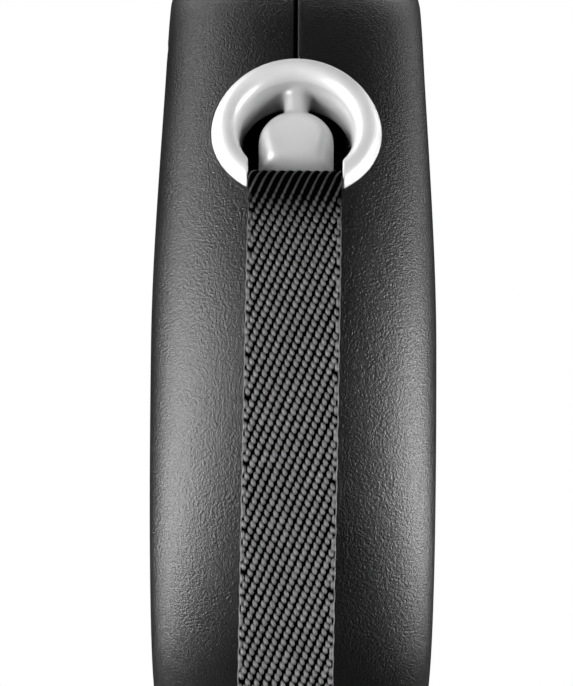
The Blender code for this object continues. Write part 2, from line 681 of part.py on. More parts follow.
# Snap hook ------------------------------------------------------------------------------
HOOK = Vector((0, hang_y, BAR_Z))
bm = bmesh.new()
path = [(-9.9, 0), (9.9, 0), (10.2, -3.0), (9.6, -6.5), (6.8, -10.2), (3.6, -12.4), (-3.6, -12.4),
        (-6.8, -10.2), (-9.6, -6.5), (-10.2, -3.0)]
sweep(bm, [HOOK + Vector((x, 0, z)) for x, z in path], disc(BAR_R, 10), across=Vector((0, 1, 0)), closed=True)
eye = obj_from(bm, "hook_eye", CHROME)
bm = bmesh.new()
post(bm, 4.9, BAR_Z - 15.0, BAR_Z - 10.6, 0, hang_y, 24)
collar = obj_from(bm, "add_collar", cutter=True)
bm = bmesh.new()
post(bm, 2.3, BAR_Z - 20.0, BAR_Z - 6.0, 0, hang_y, 20)
pierce = obj_from(bm, "cut_collar", cutter=True)
combine(eye, collar, "UNION")
combine(eye, pierce, "DIFFERENCE")
settle(eye)
smooth(eye, 40)

bm = bmesh.new()
BARREL_TOP, BARREL_END = BAR_Z - 15.4, BAR_Z - 40.0
post(bm, 2.0, BARREL_TOP - 1.0, BAR_Z - 9.6, 0, hang_y, 20)
body = obj_from(bm, "hook_body", CHROME)
bm = bmesh.new()
post(bm, 3.3, BAR_Z - 10.2, BAR_Z - 8.6, 0, hang_y, 20, 2.4)
rivet = obj_from(bm, "add_rivet", cutter=True)
bm = bmesh.new()
post(bm, 5.0, BARREL_TOP - 3.0, BARREL_TOP, 0, hang_y, 24, 4.4)
shoulder = obj_from(bm, "add_shoulder", cutter=True)
bm = bmesh.new()
BOLT_X = 3.6
box(bm, (13.6, 8.4, BARREL_TOP - BARREL_END - 2.0), (0.4, hang_y, (BARREL_TOP - 2.0 + BARREL_END) / 2), None, 2.0)
barrel = obj_from(bm, "add_barrel", cutter=True)
bm = bmesh.new()
jay = [(-3.4, -35.0), (-5.6, -40.0), (-9.0, -44.5), (-11.2, -50.5), (-11.4, -57.5), (-9.4, -64.0),
       (-5.0, -68.9), (0.6, -70.6), (6.2, -69.2), (10.2, -65.2), (11.4, -60.4), (10.0, -56.0), (6.4, -53.4),
       (3.6, -53.1)]
smooth_jay = []
for i in range(len(jay) - 1):
    p0, p1, p2, p3 = (Vector(jay[max(0, min(len(jay) - 1, i + k))]) for k in (-1, 0, 1, 2))
    for s in range(2):
        t = s / 2
        smooth_jay.append(0.5 * ((2 * p1) + (p2 - p0) * t + (2 * p0 - 5 * p1 + 4 * p2 - p3) * t * t
                                 + (3 * p1 - p0 - 3 * p2 + p3) * t ** 3))
smooth_jay.append(Vector(jay[-1]))
sweep(bm, [(p.x, hang_y, BAR_Z + p.y) for p in smooth_jay], disc(2.7, 12), across=Vector((0, 1, 0)))
jaw = obj_from(bm, "add_jaw", cutter=True)
for extra in (rivet, shoulder, barrel, jaw):
    combine(body, extra, "UNION")
bm = bmesh.new()
post(bm, 2.5, BARREL_END - 3.0, BAR_Z - 19.0, BOLT_X, hang_y, 20)
box(bm, (3.8, 6.0, 15.0), (BOLT_X, hang_y - 3.5, BAR_Z - 29.0))
bore = obj_from(bm, "cut_bolt_bore", cutter=True)
settle(body)
bm = bmesh.new()
post(bm, 2.5, BAR_Z - 43.0, BAR_Z - 19.0, BOLT_X, hang_y, 20)
bolt_bore = obj_from(bm, "cut_bolt", cutter=True)
bm = bmesh.new()
box(bm, (3.8, 6.0, 15.5), (BOLT_X, hang_y - 3.5, BAR_Z - 29.2))
bolt_slot = obj_from(bm, "cut_bolt_slot", cutter=True)
bpy.data.objects.remove(bore)
combine(body, bolt_bore, "DIFFERENCE")
combine(body, bolt_slot, "DIFFERENCE")
settle(body)
smooth(body, 40)

bm = bmesh.new()
post(bm, 2.15, BAR_Z - 50.0, BAR_Z - 31.0, BOLT_X, hang_y, 20)
bolt = obj_from(bm, "hook_bolt", CHROME)
bm = bmesh.new()
bmesh.ops.create_cone(bm, cap_ends=True, segments=16, radius1=1.6, radius2=1.6, depth=5.4,
                      matrix=Matrix.Translation((BOLT_X, hang_y - 3.7, BAR_Z - 34.0))
                      @ Matrix.Rotation(math.radians(90), 4, "X"))
arm = obj_from(bm, "add_arm", cutter=True)
bm = bmesh.new()
bmesh.ops.create_cone(bm, cap_ends=True, segments=20, radius1=2.6, radius2=3.1, depth=2.6,
                      matrix=Matrix.Translation((BOLT_X, hang_y - 6.6, BAR_Z - 34.0))
                      @ Matrix.Rotation(math.radians(90), 4, "X"))
stud = obj_from(bm, "add_stud", cutter=True)
combine(bolt, arm, "UNION")
combine(bolt, stud, "UNION")
settle(bolt)
smooth(bolt, 40)

bm = bmesh.new()
coil = helix(bm, 0.3, 1.6, 11.2, 6)
bmesh.ops.translate(bm, verts=coil, vec=(BOLT_X, hang_y, BAR_Z - 30.7))
obj_from(bm, "bolt_spring", STEEL)

# Brake -------------------------------------------------------------------------------------
TURN = TO_BRAKE.to_3x3().to_4x4()
bm = bmesh.new()
box(bm, (15.4, 20.0, 10.2), (0, 0, -1.5), None, 1.7, 3)
button = obj_from(bm, "brake_button", BLACK)
bm = bmesh.new()
box(bm, (17.6, 23.0, 2.0), (0, 0, -6.8))
plate = obj_from(bm, "add_plate", cutter=True)
bm = bmesh.new()
box(bm, (5.0, 5.0, 6.6), (5.5, -6.0, -10.4))
stem = obj_from(bm, "add_stem", cutter=True)
for extra in (plate, stem):
    combine(button, extra, "UNION")
settle(button)
for ob in (button, plate, stem):
    ob.data.transform(TO_BRAKE)
smooth(button)

bm = bmesh.new()
coil = helix(bm, 0.4, 2.4, 8.3, 5)
bmesh.ops.transform(bm, verts=coil, matrix=TO_BRAKE @ Matrix.Translation((-4.5, 2.0, -16.35)))
obj_from(bm, "brake_spring", STEEL)

pivot = Vector((0, 18.5, -17.2))
bm = bmesh.new()
box(bm, (8.1, 30.0, 3.6), (6.55, pivot.y - 11.6, pivot.z + 1.4), None, 0.8, 1)
pawl = obj_from(bm, "brake_pawl", GREY)
bm = bmesh.new()
rod(bm, 3.6, -8.5, 10.5, pivot.y, pivot.z, 20)
eye_boss = obj_from(bm, "add_boss", cutter=True)
bm = bmesh.new()
rod(bm, 1.8, -20, 20, pivot.y, pivot.z, 14)
pin_hole = obj_from(bm, "cut_pin", cutter=True)
combine(pawl, eye_boss, "UNION")
combine(pawl, pin_hole, "DIFFERENCE")
settle(pawl)
for ob in (pawl, eye_boss, pin_hole):
    ob.data.transform(TO_BRAKE)
TOOTH_AT = 90.0                          # where round the reel the pawl's tooth drops in
ta = math.radians(TOOTH_AT)
bm = bmesh.new()
tip = Vector((0, (FLANGE_R + 3.0) * math.cos(ta), (FLANGE_R + 3.0) * math.sin(ta)))
top = at_brake(0, -4.0, -15.6)
for x in (8.0, 10.5):
    for p, w in ((tip, 1.6), (top, 2.6)):
        for s in (-1, 1):
            bm.verts.new((x, p.y + s * w, p.z))
bm.verts.ensure_lookup_table()
v = bm.verts
for f in ((0, 1, 3, 2), (5, 4, 6, 7), (0, 4, 5, 1), (2, 3, 7, 6), (0, 2, 6, 4), (1, 5, 7, 3)):
    bm.faces.new([v[k] for k in f])
leg = obj_from(bm, "add_leg", cutter=True)
combine(pawl, leg, "UNION")
settle(pawl)
smooth(pawl)

bm = bmesh.new()
rod(bm, 1.5, -13.6, 13.6, PAWL_PIVOT.y, PAWL_PIVOT.z, 14)
smooth(obj_from(bm, "pawl_pin", STEEL))

bm = bmesh.new()                         # lock slider: tongue slides over or under the button's plate
box(bm, (7.8, 8.0, 8.8), (0, 25.4, -2.2), None, 1.0)
lock = obj_from(bm, "lock_slider", SILVER)
bm = bmesh.new()
box(bm, (12.5, 11.0, 2.2), (0, 25.5, -6.8))
under = obj_from(bm, "add_under", cutter=True)
bm = bmesh.new()
box(bm, (8.0, 15.7, 2.2), (0, 23.15, -9.2))
tongue = obj_from(bm, "add_tongue", cutter=True)
bm = bmesh.new()
box(bm, (8.0, 6.0, 3.4), (0, 27.0, -8.0))
riser = obj_from(bm, "add_riser", cutter=True)
for extra in (under, riser, tongue):
    combine(lock, extra, "UNION")
settle(lock)
for ob in (lock, under, tongue, riser):
    ob.data.transform(TO_BRAKE)
smooth(lock)

# Put the origin in the grip and the moving pieces' own origins on their joints ----------------
GRIP = Vector((0, GRIP_Y, GRIP_Z))
JOINTS = {
    "brake_button": at_brake(0, 0, 0), "brake_pawl": PAWL_PIVOT, "lock_slider": at_brake(0, 25.4, 0),
    "tape_free": LIP, "tape_loop": LIP, "seam_sleeve": LIP, "hook_eye": HOOK,
    "hook_body": HOOK, "hook_bolt": HOOK + Vector((BOLT_X, 0, -34.0)),
}
for ob in list(PARTS.objects) + list(CUTS.objects):
    centre = JOINTS.get(ob.name, Vector((0, 0, 0)))
    ob.data.transform(Matrix.Scale(MM, 4) @ Matrix.Translation(-centre))
    ob.location = (centre - GRIP) * MM
bpy.context.view_layer.update()
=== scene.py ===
"""Retractable tape leash, seen from the front of its nose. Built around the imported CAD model."""
import math

import bmesh
import bpy
import numpy as np
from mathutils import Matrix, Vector
from mathutils.geometry import delaunay_2d_cdt

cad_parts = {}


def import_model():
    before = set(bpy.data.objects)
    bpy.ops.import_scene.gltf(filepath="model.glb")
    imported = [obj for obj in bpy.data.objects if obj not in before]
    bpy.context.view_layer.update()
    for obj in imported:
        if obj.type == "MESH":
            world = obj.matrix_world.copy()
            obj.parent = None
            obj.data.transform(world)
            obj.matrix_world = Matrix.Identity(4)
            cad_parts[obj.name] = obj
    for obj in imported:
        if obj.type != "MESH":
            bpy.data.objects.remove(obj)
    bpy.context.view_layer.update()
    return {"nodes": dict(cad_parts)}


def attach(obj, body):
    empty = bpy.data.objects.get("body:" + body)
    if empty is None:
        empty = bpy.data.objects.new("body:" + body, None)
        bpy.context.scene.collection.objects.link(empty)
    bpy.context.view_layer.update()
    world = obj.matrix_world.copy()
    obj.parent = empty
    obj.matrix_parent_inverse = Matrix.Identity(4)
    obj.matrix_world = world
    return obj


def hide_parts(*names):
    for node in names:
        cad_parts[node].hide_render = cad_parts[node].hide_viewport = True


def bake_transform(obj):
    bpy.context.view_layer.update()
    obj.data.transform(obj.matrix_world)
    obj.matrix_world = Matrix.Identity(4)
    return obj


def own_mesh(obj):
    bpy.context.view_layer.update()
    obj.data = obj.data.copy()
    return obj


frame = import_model()

# ---- The CAD's driving dimensions, in millimetres around the reel's axle
HALF, RIM, FLAT, WALL = 22.25, 10.2, 0.5, 2.4    # casing: half thickness, edge radius, flat at the seam
CROWN, CROWN_FROM, CROWN_SPAN = 1.65, 12.0, 56.0    # how much thinner each half is at the crown
GRIP_SHARE, GRIP_FROM, GRIP_SPAN = 0.68, 46.0, 42.0    # the handle's share of the full thickness
NOSE_RADIUS, NOSE_Y, NOSE_Z = 102.0, 48.0, -5.0
BELLY_RADIUS, BELLY_Y, BELLY_Z = 50.0, -4.0, -5.0
GRIP = np.array((0.0, 98.0, 9.0))    # the hand's place, which is the frame's origin
NOZZLE = np.array((0.0, -39.985, 46.598))
TILT = math.radians(30.0)
AXIS = np.array((0.0, -math.cos(TILT), math.sin(TILT)))
UP = np.array((0.0, math.sin(TILT), math.cos(TILT)))
THROAT_R, RING_DEPTH, SILL, LIP_R = 8.75, 10.5, 7.69, 3.2
RING_X = 0.2                         # the ring sits this much to one side of the seam
RING_SEEN, RING_FLAT, RING_UP = 13.34, 0.97, 0.16    # radius, share of it in height, shift up
BEZEL_R = 2.02                       # the ring's rolled edge
LANE_X, LANE_HALF = -0.14, 7.4       # the gap in the ring that the tape runs in
KNOB_R, KNOB_TOP, KNOB_LOW, KNOB_FACE = 5.9, 5.28, -5.99, -2.4
TAPE_W, TAPE_T = 15.0, 1.0
PACK_R, HUB_R, REEL_ROOM = 45.0, 22.0, 50.3    # wound tape outside and inside, and the reel's room
LOOP_TOP, BAR_Z, BAR_R = -104.0, -150.0, 1.8
BRAKE = np.array((0.0, 6.0, 79.0))
SCREWS = ((-16.0, 58.0), (40.0, 64.5), (76.0, 46.5), (97.0, -10.0), (62.0, -39.5))
SCREW_SHARE, SCREW_DEEP = 0.93, 4.5  # where a screw's head sits under the side
BADGE_R, BADGE_DEEP = 21.0, 1.5
LIP = NOZZLE - AXIS * LIP_R - UP * (SILL + LIP_R)
TAPE_GAP = 0.15                      # tape to sill
BEND = LIP_R + TAPE_GAP + TAPE_T / 2
REST = 157.5                         # where the tape leaves the lip, in degrees round it
HANG = 0.3 + TAPE_T / 2 + 0.25
HANG_Y = NOSE_Y - NOSE_RADIUS - HANG
BOLT_X = 3.6


def world(p):
    """From drum millimetres to the frame's metres."""
    return (np.asarray(p, float) - GRIP) * 0.001


def nozzle_to_drum(p):
    """From (across, along the nozzle's axis, up) to drum millimetres."""
    p = np.asarray(p, float)
    return NOZZLE + np.outer(p[:, 0], (1.0, 0.0, 0.0)) + np.outer(p[:, 1], AXIS) + np.outer(p[:, 2], UP)


# ---- Camera
VIEW_D = 650.0                       # camera to the nozzle's mouth, mm
PX_PER_MM = 6.4
PICTURE_H, SENSOR = 686.0, 36.0
cam_data = bpy.data.cameras.new("camera")
cam_data.lens = PX_PER_MM * VIEW_D * SENSOR / PICTURE_H
cam_data.clip_start, cam_data.clip_end = 0.01, 20.0
camera = bpy.data.objects.new("camera", cam_data)
bpy.context.scene.collection.objects.link(camera)
camera.location = world((-1.12, -40.33 - VIEW_D, 12.7))
camera.rotation_euler = (math.radians(90.0), math.radians(-0.38), 0.0)
bpy.context.scene.camera = camera


# ---- Objects
def make(name, verts, faces, mat=None, body=None, slot=None, uvs=None):
    """A mesh object from drum millimetres."""
    mesh = bpy.data.meshes.new(name)
    mesh.from_pydata(world(verts), [], [tuple(map(int, f)) for f in faces])
    mesh.update()
    mesh.shade_smooth()
    if uvs is not None:
        layer = mesh.uv_layers.new(name="weave")
        idx = np.empty(len(mesh.loops), np.int32)
        mesh.loops.foreach_get("vertex_index", idx)
        layer.data.foreach_set("uv", np.asarray(uvs, np.float32)[idx].ravel())
    ob = bpy.data.objects.new(name, mesh)
    bpy.context.scene.collection.objects.link(ob)
    if mat:
        mesh.materials.append(mat)
    if body:
        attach(ob, body)
    return ob


def sharpen(ob, angle):
    """Marks edges above an angle as sharp, so that flats stay flat."""
    bm = bmesh.new()
    bm.from_mesh(ob.data)
    limit = math.radians(angle)
    flags = [len(e.link_faces) != 2 or e.calc_face_angle(0.0) > limit for e in bm.edges]
    bm.free()
    ob.data.edges.foreach_set("use_edge_sharp", flags)


def outward(mesh):
    """Turns every face to the outside."""
    bm = bmesh.new()
    bm.from_mesh(mesh)
    bmesh.ops.recalc_face_normals(bm, faces=bm.faces)
    bm.to_mesh(mesh)
    bm.free()


def around(sides):
    return [math.tau * k / sides for k in range(sides)]


def tube(rings, loop=False):
    """Points and faces of a tube through rings of points. A loop joins its last ring to its first."""
    rings = np.asarray(rings, float)
    ids = np.arange(rings.shape[0] * rings.shape[1]).reshape(rings.shape[:2])
    ends = [] if loop else [tuple(ids[0][::-1]), tuple(ids[-1])]
    if loop:
        ids = np.concatenate((ids, ids[:1]))
    beside = np.roll(ids, -1, 1)
    quads = np.stack((ids[:-1], beside[:-1], beside[1:], ids[1:]), -1).reshape(-1, 4)
    return rings.reshape(-1, 3), [tuple(q) for q in quads] + ends


def joined(parts):
    """Points and faces of several tubes as one mesh."""
    verts, faces = [], []
    for points, part_faces in parts:
        faces += [[i + len(verts) for i in face] for face in part_faces]
        verts += list(points)
    return verts, faces


def turned(profile, centre, axis, sides=96, flat=1.0):
    """Points and faces of a turned solid from (radius, along axis) pairs; flat makes it oval."""
    turn = np.array(Vector((0, 0, 1)).rotation_difference(Vector(axis)).to_matrix())
    rings = [[(r * math.cos(a), flat * r * math.sin(a), h) for a in around(sides)] for r, h in profile]
    verts, faces = tube(rings)
    return verts @ turn.T + np.array(centre), faces


# ---- Nodes
class Mat:
    """A small helper for building a procedural material."""

    def __init__(self, name, colour, rough, metal=0.0, spec=0.5):
        self.mat = bpy.data.materials.new(name)
        self.mat.use_nodes = True
        self.tree = self.mat.node_tree
        self.out = self.tree.nodes["Principled BSDF"]
        self.out.inputs["Base Color"].default_value = (*colour, 1.0)
        self.out.inputs["Roughness"].default_value = rough
        self.out.inputs["Metallic"].default_value = metal
        self.out.inputs["Specular IOR Level"].default_value = spec
        self.coord = self.node("ShaderNodeTexCoord").outputs["Object"]

    def node(self, kind, **values):
        n = self.tree.nodes.new(kind)
        for key, value in values.items():
            if hasattr(n, key):
                setattr(n, key, value)
            else:
                n.inputs[key.replace("_", " ")].default_value = value
        return n

    def link(self, a, b):
        self.tree.links.new(a, b)

    def noise(self, scale, detail=2.0, rough=0.5, vector=None, stretch=None):
        """Noise in cycles per metre; stretch gives another scale along each direction."""
        n = self.node("ShaderNodeTexNoise", Scale=scale, Detail=detail, Roughness=rough)
        vec = vector or self.coord
        if stretch:
            m = self.node("ShaderNodeMapping")
            m.inputs["Scale"].default_value = stretch
            self.link(vec, m.inputs["Vector"])
            vec = m.outputs["Vector"]
        self.link(vec, n.inputs["Vector"])
        return n.outputs["Fac"]

    def math(self, op, a, b):
        n = self.node("ShaderNodeMath", operation=op)
        for i, v in enumerate((a, b)):
            if isinstance(v, float):
                n.inputs[i].default_value = v
            else:
                self.link(v, n.inputs[i])
        return n.outputs[0]

    def ramp(self, fac, stops):
        n = self.node("ShaderNodeValToRGB")
        self.link(fac, n.inputs["Fac"])
        el = n.color_ramp.elements
        while len(el) < len(stops):
            el.new(0.5)
        for e, (pos, col) in zip(el, stops):
            e.position = pos
            e.color = (*col, 1.0)
        return n.outputs["Color"]

    def colour(self, fac, low, high):
        self.link(self.ramp(fac, ((0.35, low), (0.65, high))), self.out.inputs["Base Color"])

    def rough(self, fac, low, high):
        n = self.node("ShaderNodeMapRange")
        n.inputs["From Min"].default_value, n.inputs["From Max"].default_value = 0.3, 0.7
        n.inputs["To Min"].default_value, n.inputs["To Max"].default_value = low, high
        self.link(fac, n.inputs["Value"])
        self.link(n.outputs[0], self.out.inputs["Roughness"])

    def bump(self, height, strength, distance):
        n = self.node("ShaderNodeBump")
        n.inputs["Strength"].default_value = strength
        n.inputs["Distance"].default_value = distance
        self.link(height, n.inputs["Height"])
        if self.out.inputs["Normal"].is_linked:
            self.link(self.out.inputs["Normal"].links[0].from_socket, n.inputs["Normal"])
        self.link(n.outputs["Normal"], self.out.inputs["Normal"])


def black_grain(name, scale=4600.0, slope=0.94, base=0.003, rough=0.36):
    """Moulded plastic with a fine leathery grain."""
    m = Mat(name, (base,) * 3, rough)
    wide = m.noise(45.0, 3.0)
    grain = m.noise(scale, 1.0, 0.5)
    pits = m.noise(scale * 0.5, 0.0, 0.5)
    m.colour(wide, (base * 0.9,) * 3, (base * 1.15,) * 3)
    m.rough(wide, rough - 0.02, rough + 0.03)
    m.bump(m.math("ADD", grain, m.math("MULTIPLY", pits, 0.6)), slope, 0.0001)
    return m.mat


def silver_paint(name, base=0.48, rough=0.36):
    """Silver moulded plastic with a fine fleck."""
    m = Mat(name, (base,) * 3, rough, 0.2)
    wide = m.noise(160.0, 3.0)
    fleck = m.noise(9000.0, 1.0)
    m.colour(m.math("ADD", m.math("MULTIPLY", wide, 0.6), m.math("MULTIPLY", fleck, 0.4)),
             (base * 0.93, base * 0.93, base * 0.935), (base * 1.05,) * 3)
    m.rough(wide, rough - 0.03, rough + 0.05)
    m.bump(m.noise(700.0, 2.0), 0.03, 0.00008)
    return m.mat


def chrome(name):
    """Satin plated metal, a little uneven."""
    m = Mat(name, (0.2, 0.2, 0.205), 0.38, 0.85)
    wear = m.noise(260.0, 4.0)
    m.rough(wear, 0.34, 0.44)
    m.bump(m.noise(900.0, 2.0), 0.02, 0.00006)
    m.colour(wear, (0.16, 0.16, 0.165), (0.23, 0.23, 0.235))
    return m.mat


def steel(name):
    """Drawn steel with lines along its length."""
    m = Mat(name, (0.5, 0.5, 0.52), 0.3, 1.0)
    lines = m.noise(900.0, 2.0, 0.6, None, (1.0, 14.0, 14.0))
    m.rough(lines, 0.22, 0.38)
    m.colour(lines, (0.42, 0.42, 0.44), (0.56, 0.56, 0.58))
    return m.mat


def moulded_grey(name):
    """Plain grey moulded plastic of the works inside."""
    m = Mat(name, (0.42, 0.42, 0.43), 0.45)
    m.bump(m.noise(1500.0, 2.0), 0.12, 0.00008)
    m.colour(m.noise(60.0, 3.0), (0.38, 0.38, 0.39), (0.46, 0.46, 0.47))
    return m.mat


# Weave: yarn floats on a slanted lattice, in millimetres of (across, along the tape)
STEP_A = np.array((0.977, 0.977))        # from one ridge to the next
STEP_B = np.array((0.376, -0.905))       # from one float to the next along a ridge
FREQ = np.linalg.inv(np.array((STEP_A, STEP_B)).T)
FLOAT_W, FLOAT_L = 0.39, 0.70            # half sizes of a float
FLOAT_LEAN = math.radians(-17.0)


def webbing(name):
    """Black yarn, glossy on top of each float, with shade painted into the grooves: darker colour and no
    reflection there.
    """
    m = Mat(name, (0.02, 0.02, 0.021), 0.4, 0.0, 0.6)
    uv = m.node("ShaderNodeUVMap", uv_map="weave").outputs["UV"]
    rise = m.node("ShaderNodeAttribute", attribute_name="rise").outputs["Fac"]
    lean = m.node("ShaderNodeMapping")
    lean.inputs["Rotation"].default_value = (0.0, 0.0, FLOAT_LEAN)
    m.link(uv, lean.inputs["Vector"])
    threads = m.noise(100.0, 2.0, 0.6, lean.outputs["Vector"], (90.0, 12.0, 1.0))
    wide = m.noise(90.0, 3.0)
    tone = m.math("ADD", m.math("MULTIPLY", threads, 0.25), m.math("MULTIPLY", wide, 0.15))
    height = m.math("ADD", m.math("MULTIPLY", rise, 0.8), m.math("SUBTRACT", tone, 0.2))
    # colour by float height: painted shade, darkest in the grooves between the floats
    m.link(m.ramp(height, ((0.12, (0.0005,) * 3), (0.35, (0.008,) * 3), (0.85, (0.03,) * 3))),
           m.out.inputs["Base Color"])
    # reflection by float height: taken out in the grooves as painted shade, strongest on the floats' tops
    m.link(m.ramp(height, ((0.15, (0.0,) * 3), (0.4, (0.6,) * 3), (0.8, (1.0,) * 3))),
           m.out.inputs["Specular IOR Level"])
    m.rough(threads, 0.34, 0.5)
    m.bump(threads, 0.6, 0.00007)
    return m.mat


ABS = black_grain("black_abs_look")
ABS_SOFT = black_grain("black_button_look", 4300.0, 0.5, 0.009, 0.42)
SILVER = silver_paint("silver_look")
SATIN = silver_paint("satin_look", 0.13, 0.42)
CHROME = chrome("chrome_look")
STEEL = steel("steel_look")
GREY = moulded_grey("grey_pom_look")
WEB = webbing("webbing_look")
RUBBER = black_grain("rubber_look", 2400.0, 0.5, 0.014, 0.55)


# ---- Casing
def on_arc(cy, cz, radius, degrees):
    a = math.radians(degrees)
    return (cy + radius * math.cos(a), cz + radius * math.sin(a))


def rounded(knots, steps):
    """A smooth closed line through the knots (centripetal spline)."""
    out, n = [], len(knots)
    for i in range(n):
        p = [Vector(knots[(i + k) % n]) for k in (-1, 0, 1, 2)]
        t = [0.0]
        for a, b in zip(p, p[1:]):
            t.append(t[-1] + math.sqrt((b - a).length))
        for s in range(steps):
            u = t[1] + (t[2] - t[1]) * s / steps
            a1 = p[0] * (t[1] - u) / (t[1] - t[0]) + p[1] * (u - t[0]) / (t[1] - t[0])
            a2 = p[1] * (t[2] - u) / (t[2] - t[1]) + p[2] * (u - t[1]) / (t[2] - t[1])
            a3 = p[2] * (t[3] - u) / (t[3] - t[2]) + p[3] * (u - t[2]) / (t[3] - t[2])
            b1 = a1 * (t[2] - u) / (t[2] - t[0]) + a2 * (u - t[0]) / (t[2] - t[0])
            b2 = a2 * (t[3] - u) / (t[3] - t[1]) + a3 * (u - t[1]) / (t[3] - t[1])
            out.append(b1 * (t[2] - u) / (t[2] - t[1]) + b2 * (u - t[1]) / (t[2] - t[1]))
    return np.array([tuple(v) for v in out])


def body_outline(steps):
    """The casing's outline from the side, in (back, up)."""
    nose = [on_arc(NOSE_Y, NOSE_Z, NOSE_RADIUS, a) for a in (180.0, 165.8, 150.0, 140.4)]
    crown = [(-20.0, 70.6), (-7.0, 77.0), (12.0, 79.4), (34.0, 77.6)]
    handle = [(58.0, 70.0), (82.0, 56.0), (101.0, 35.0), (109.5, 9.0), (105.0, -17.0),
              (88.0, -38.0), (62.0, -50.0), (30.0, -54.4)]
    belly = [on_arc(BELLY_Y, BELLY_Z, BELLY_RADIUS, a) for a in (270.0, 247.0, 224.0, 202.0)]
    return rounded(nose + crown + handle + belly, steps)


def finger_outline(steps):
    """The finger opening's outline: round the drum, then along the handle."""
    drum = [on_arc(0.0, 0.0, 56.0, a) for a in (-24.0, -6.0, 12.0, 30.0)]
    hand = [(41.0, 42.5), (47.5, 48.0), (63.5, 42.0), (78.5, 27.0), (85.0, 9.0), (80.5, -11.5),
            (69.0, -24.5), (57.5, -28.0)]
    return rounded(drum + hand, steps)


def thickness(y, z):
    """Share of the full thickness at a place on the side."""
    s = np.clip((z - CROWN_FROM) / CROWN_SPAN, 0.0, 1.0)
    share = 1 - CROWN / HALF * s * s * (3 - 2 * s)
    t = np.clip((y - GRIP_FROM) / GRIP_SPAN, 0.0, 1.0)
    return share * (1 - (1 - GRIP_SHARE) * t * t * (3 - 2 * t))


def relax(line):
    """Evens out a closed line."""
    for _ in range(3):
        line = line * 0.5 + (np.roll(line, 1, 0) + np.roll(line, -1, 0)) * 0.25
    return line


def inward(line, towards_outside):
    """Unit directions from the line into the material."""
    d = np.roll(line, -1, 0) - np.roll(line, 1, 0)
    n = np.stack((-d[:, 1], d[:, 0]), 1)
    n /= np.linalg.norm(n, axis=1)[:, None]
    area = 0.5 * np.sum(line[:, 0] * np.roll(line[:, 1], -1) - np.roll(line[:, 0], -1) * line[:, 1])
    inside = 1.0 if area > 0 else -1.0
    return n * inside * (-1.0 if towards_outside else 1.0)


def casing_half(name, side):
    """One moulding: its joint face, its rounded outside and its inside, closed by both flat sides."""
    steps = 12
    lines = [relax(body_outline(steps)), relax(finger_outline(steps))]
    dirs = [inward(lines[0], False), inward(lines[1], True)]
    verts, faces = [], []

    def add(points, x):
        start = len(verts)
        for (y, z), xx in zip(points, x):
            verts.append((side * xx, y, z))
        return np.arange(start, len(verts))

    def strip(a, b):
        n = len(a)
        for i in range(n):
            j = (i + 1) % n
            faces.append((a[i], a[j], b[j], b[i]))

    def rounding(line, d, deep, arc):
        """Rows round the edge, for the outside or for the inside a wall's depth under it."""
        rim, rows = RIM - deep, []
        for k in range(arc + 1):
            th = math.pi / 2 * k / arc
            p = line + d * (deep + rim * (1 - math.cos(th)))
            x = (FLAT + rim * math.sin(th)) / (rim + FLAT) * (HALF - deep)
            rows.append(add(p, x * thickness(p[:, 0], p[:, 1])))
        return rows

    loops = []
    for line, d in zip(lines, dirs):
        # from the inside out, as (depth, off the middle): the joint face, then the seam's open groove
        joint = [(WALL, 0.02), (1.5, 0.02), (1.3, 0.36), (0.16, 0.37), (0.05, 0.4), (0.0, FLAT)]
        rows = [add(line + d * inset, np.full(len(line), x)) for inset, x in joint]
        rows += rounding(line, d, 0.0, 18)
        inner = rows[:1] + rounding(line, d, WALL, 6)
        for a, b in zip(rows, rows[1:]):
            strip(a, b)
        for a, b in zip(inner, inner[1:]):
            strip(b, a)
        loops.append((rows[-1], inner[-1]))
    # the flat sides, outside and inside: a net of points between both outlines
    for which, spacing, half in ((0, 2.2, HALF), (1, 9.0, HALF - WALL)):
        edge, points, used = [], [], []
        for pair in loops:
            ids = pair[which]
            start = len(points)
            points += [(verts[i][1], verts[i][2]) for i in ids]
            used += list(ids)
            edge += [(start + i, start + (i + 1) % len(ids)) for i in range(len(ids))]
        outer = np.array(points[:len(loops[0][which])])
        hole = np.array(points[len(loops[0][which]):])
        lo, hi = outer.min(0), outer.max(0)
        gy, gz = np.meshgrid(np.arange(lo[0], hi[0], spacing), np.arange(lo[1], hi[1], spacing))
        cloud = np.stack((gy.ravel(), gz.ravel()), 1)
        keep = inside_of(cloud, outer) & ~inside_of(cloud, hole)
        border = np.concatenate((outer, hole))
        far = np.sqrt(((cloud[:, None] - border[None]) ** 2).sum(2).min(1)) > spacing * 0.6
        cloud = cloud[keep & far]
        base = len(verts)
        for y, z in cloud:
            verts.append((side * half * float(thickness(y, z)), y, z))
        points += [tuple(c) for c in cloud]
        used += list(range(base, base + len(cloud)))
        _, _, tris, back, _, _ = delaunay_2d_cdt([Vector(p) for p in points], edge, [], 0, 1e-7)
        for tri in tris:
            ids = [used[back[k][0]] for k in tri]
            c = np.mean([points[back[k][0]] for k in tri], 0)[None]
            if inside_of(c, outer)[0] and not inside_of(c, hole)[0]:
                faces.append(tuple(ids))
    ob = make(name, verts, faces)
    outward(ob.data)
    return ob


def inside_of(points, poly):
    """Even-odd test of points against a closed polygon."""
    y, z = points[:, 0][:, None], points[:, 1][:, None]
    a, b = poly, np.roll(poly, -1, 0)
    hit = (a[:, 1] > z) != (b[:, 1] > z)
    with np.errstate(divide="ignore", invalid="ignore"):
        at = (b[:, 0] - a[:, 0]) * (z - a[:, 1]) / (b[:, 1] - a[:, 1]) + a[:, 0]
    return (hit & (y < at)).sum(1) % 2 == 1


